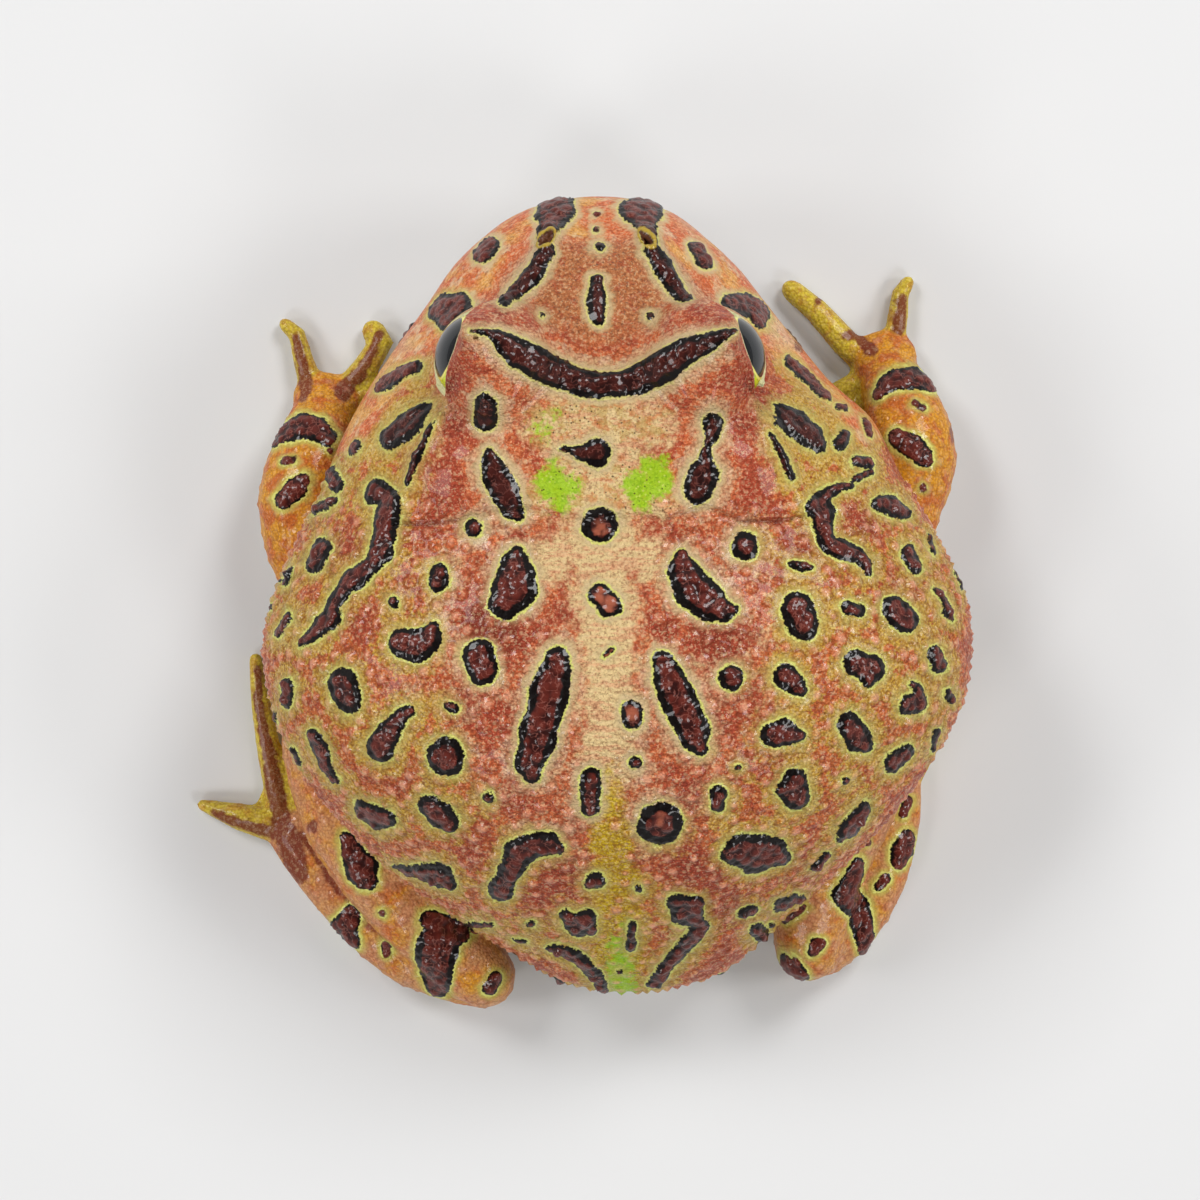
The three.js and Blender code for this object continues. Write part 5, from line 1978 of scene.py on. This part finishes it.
def eye_material():
    """Pupil with a painted grey sheen of reflected light in its middle, thin bright ring, lime iris with a
    dark net, under a clear wet coat.
    """
    iris = Layers("frog_eye")
    pupil = iris.field("pupil")
    iris.lay(IRIS_LIME)
    iris.lay(IRIS_GOLD, iris.grade(iris.noise(0.5, 3.0), 0.45, 0.65, 0.7))
    net = iris.grade(iris.cells(0.5, "DISTANCE_TO_EDGE"), 0.09, 0.03)
    iris.lay(IRIS_NET, net, iris.grade(pupil, 1.1, 1.5))
    iris.lay(IRIS_NET, iris.grade(pupil, 1.9, 2.3))
    iris.lay(IRIS_RING, iris.grade(pupil, 1.12, 1.06))
    iris.lay(PUPIL_BLACK, iris.grade(pupil, 1.03, 0.99))
    # Painted reflection, grey towards the pupil's middle.
    iris.lay(PUPIL_PAINTED_SHEEN, iris.grade(pupil, 0.95, 0.5, 0.5))
    shader = place(iris.tree, "ShaderNodeBsdfPrincipled", {
        "Base Color": iris.colour, "Roughness": EYE_ROUGHNESS, "Specular IOR Level": EYE_GLOSS,
        "Coat Weight": EYE_FILM, "Coat Roughness": EYE_FILM_ROUGHNESS})
    finish_surface(iris.tree, shader)
    return iris.material


frog_eye = eye_material()
for eye in eyes:
    eye.data.materials.append(frog_eye)
print("eye material:", len(frog_eye.node_tree.nodes), "nodes")

# %% [markdown]
# ## Floor and light
#
# The frog sits in a white tray. A lamp or a bright sky overhead would mirror itself in the whole wet
# back and veil its blacks. So the sky is white round the sides and dark above, and soft boxes stand
# round the frog, where wet grains catch them as sparkles.

# %% Pale floor
FLOOR_SIDE = 3.0
FLOOR_COLOUR = paint("dadada")
FLOOR_ROUGHNESS = 0.75
FLOOR_GRAIN = 900.0
FLOOR_BUMP = 0.02


def add_floor():
    """A wide plane under the frog."""
    bpy.ops.mesh.primitive_plane_add(size=FLOOR_SIDE)
    floor = bpy.context.object
    floor.name = "floor"
    material, tree = new_material("pale_floor")
    grain = place(tree, "ShaderNodeTexNoise", {"Scale": FLOOR_GRAIN, "Detail": 2.0})
    bump = place(tree, "ShaderNodeBump", {"Height": grain.outputs["Fac"], "Strength": FLOOR_BUMP})
    shader = place(tree, "ShaderNodeBsdfPrincipled", {
        "Base Color": FLOOR_COLOUR, "Roughness": FLOOR_ROUGHNESS, "Normal": bump.outputs["Normal"]})
    finish_surface(tree, shader)
    floor.data.materials.append(material)
    return floor


floor = add_floor()
print("floor:", FLOOR_SIDE, "m wide")

# %% Soft boxes round the frog
SKY_LIGHT = 0.38
SKY_DARK_SHARE = 0.05
SKY_RIM = (0.58, 0.84)
LAMPS = [
    # name, place in metres, side in metres, power in watts
    ("soft_box_front_right", (-0.75, -0.95, 1.15), 0.55, 12.0),
    ("soft_box_front_left", (0.85, -0.8, 1.15), 0.50, 9.4),
    ("soft_box_right", (-1.3, -0.05, 1.0), 0.45, 6.2),
    ("soft_box_left", (1.3, 0.05, 1.0), 0.45, 5.4),
    ("soft_box_back_right", (-0.75, 0.95, 1.1), 0.40, 4.8),
    ("soft_box_back_left", (0.75, 0.95, 1.1), 0.40, 4.3),
]


def add_lamp(name, spot, side, power):
    """A square lamp that faces the frog."""
    data = bpy.data.lights.new(name, "AREA")
    data.size = side
    data.energy = power
    lamp = bpy.data.objects.new(name, data)
    lamp.location = spot
    lamp.rotation_euler = Vector(spot).to_track_quat("Z", "Y").to_euler()
    bpy.context.scene.collection.objects.link(lamp)


def light_world():
    """A white sky that is dark overhead, and plain display colours."""
    world = bpy.data.worlds.new("tray")
    world.use_nodes = True
    tree = world.node_tree
    direction = place(tree, "ShaderNodeTexCoord").outputs["Generated"]
    upward = place(tree, "ShaderNodeSeparateXYZ", {0: direction}).outputs["Z"]
    light = place(tree, "ShaderNodeMapRange", {
        "Value": upward, "From Min": SKY_RIM[0], "From Max": SKY_RIM[1], "To Min": SKY_LIGHT,
        "To Max": SKY_LIGHT * SKY_DARK_SHARE}, interpolation_type="SMOOTHSTEP").outputs["Result"]
    background = tree.nodes["Background"]
    background.inputs["Color"].default_value = (1, 1, 1, 1)
    tree.links.new(light, background.inputs["Strength"])
    bpy.context.scene.world = world
    bpy.context.scene.view_settings.view_transform = "Standard"


light_world()
for lamp in LAMPS:
    add_lamp(*lamp)
print("lamps:", len(LAMPS))

# %% [markdown]
# ## Hand over
#
# The skin was built in millimetres. It is scaled to metres, rides on the frog's one body and stands
# for all the solids of flesh.

# %% Stand for the solids
points[:, 2] = np.maximum(points[:, 2], 0)
write_points(skin.data, points * MM)
skin.data.shade_smooth()
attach(skin, "root")
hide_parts(*[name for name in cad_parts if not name.startswith("eye_")])
print("skin:", len(skin.data.polygons), "faces")
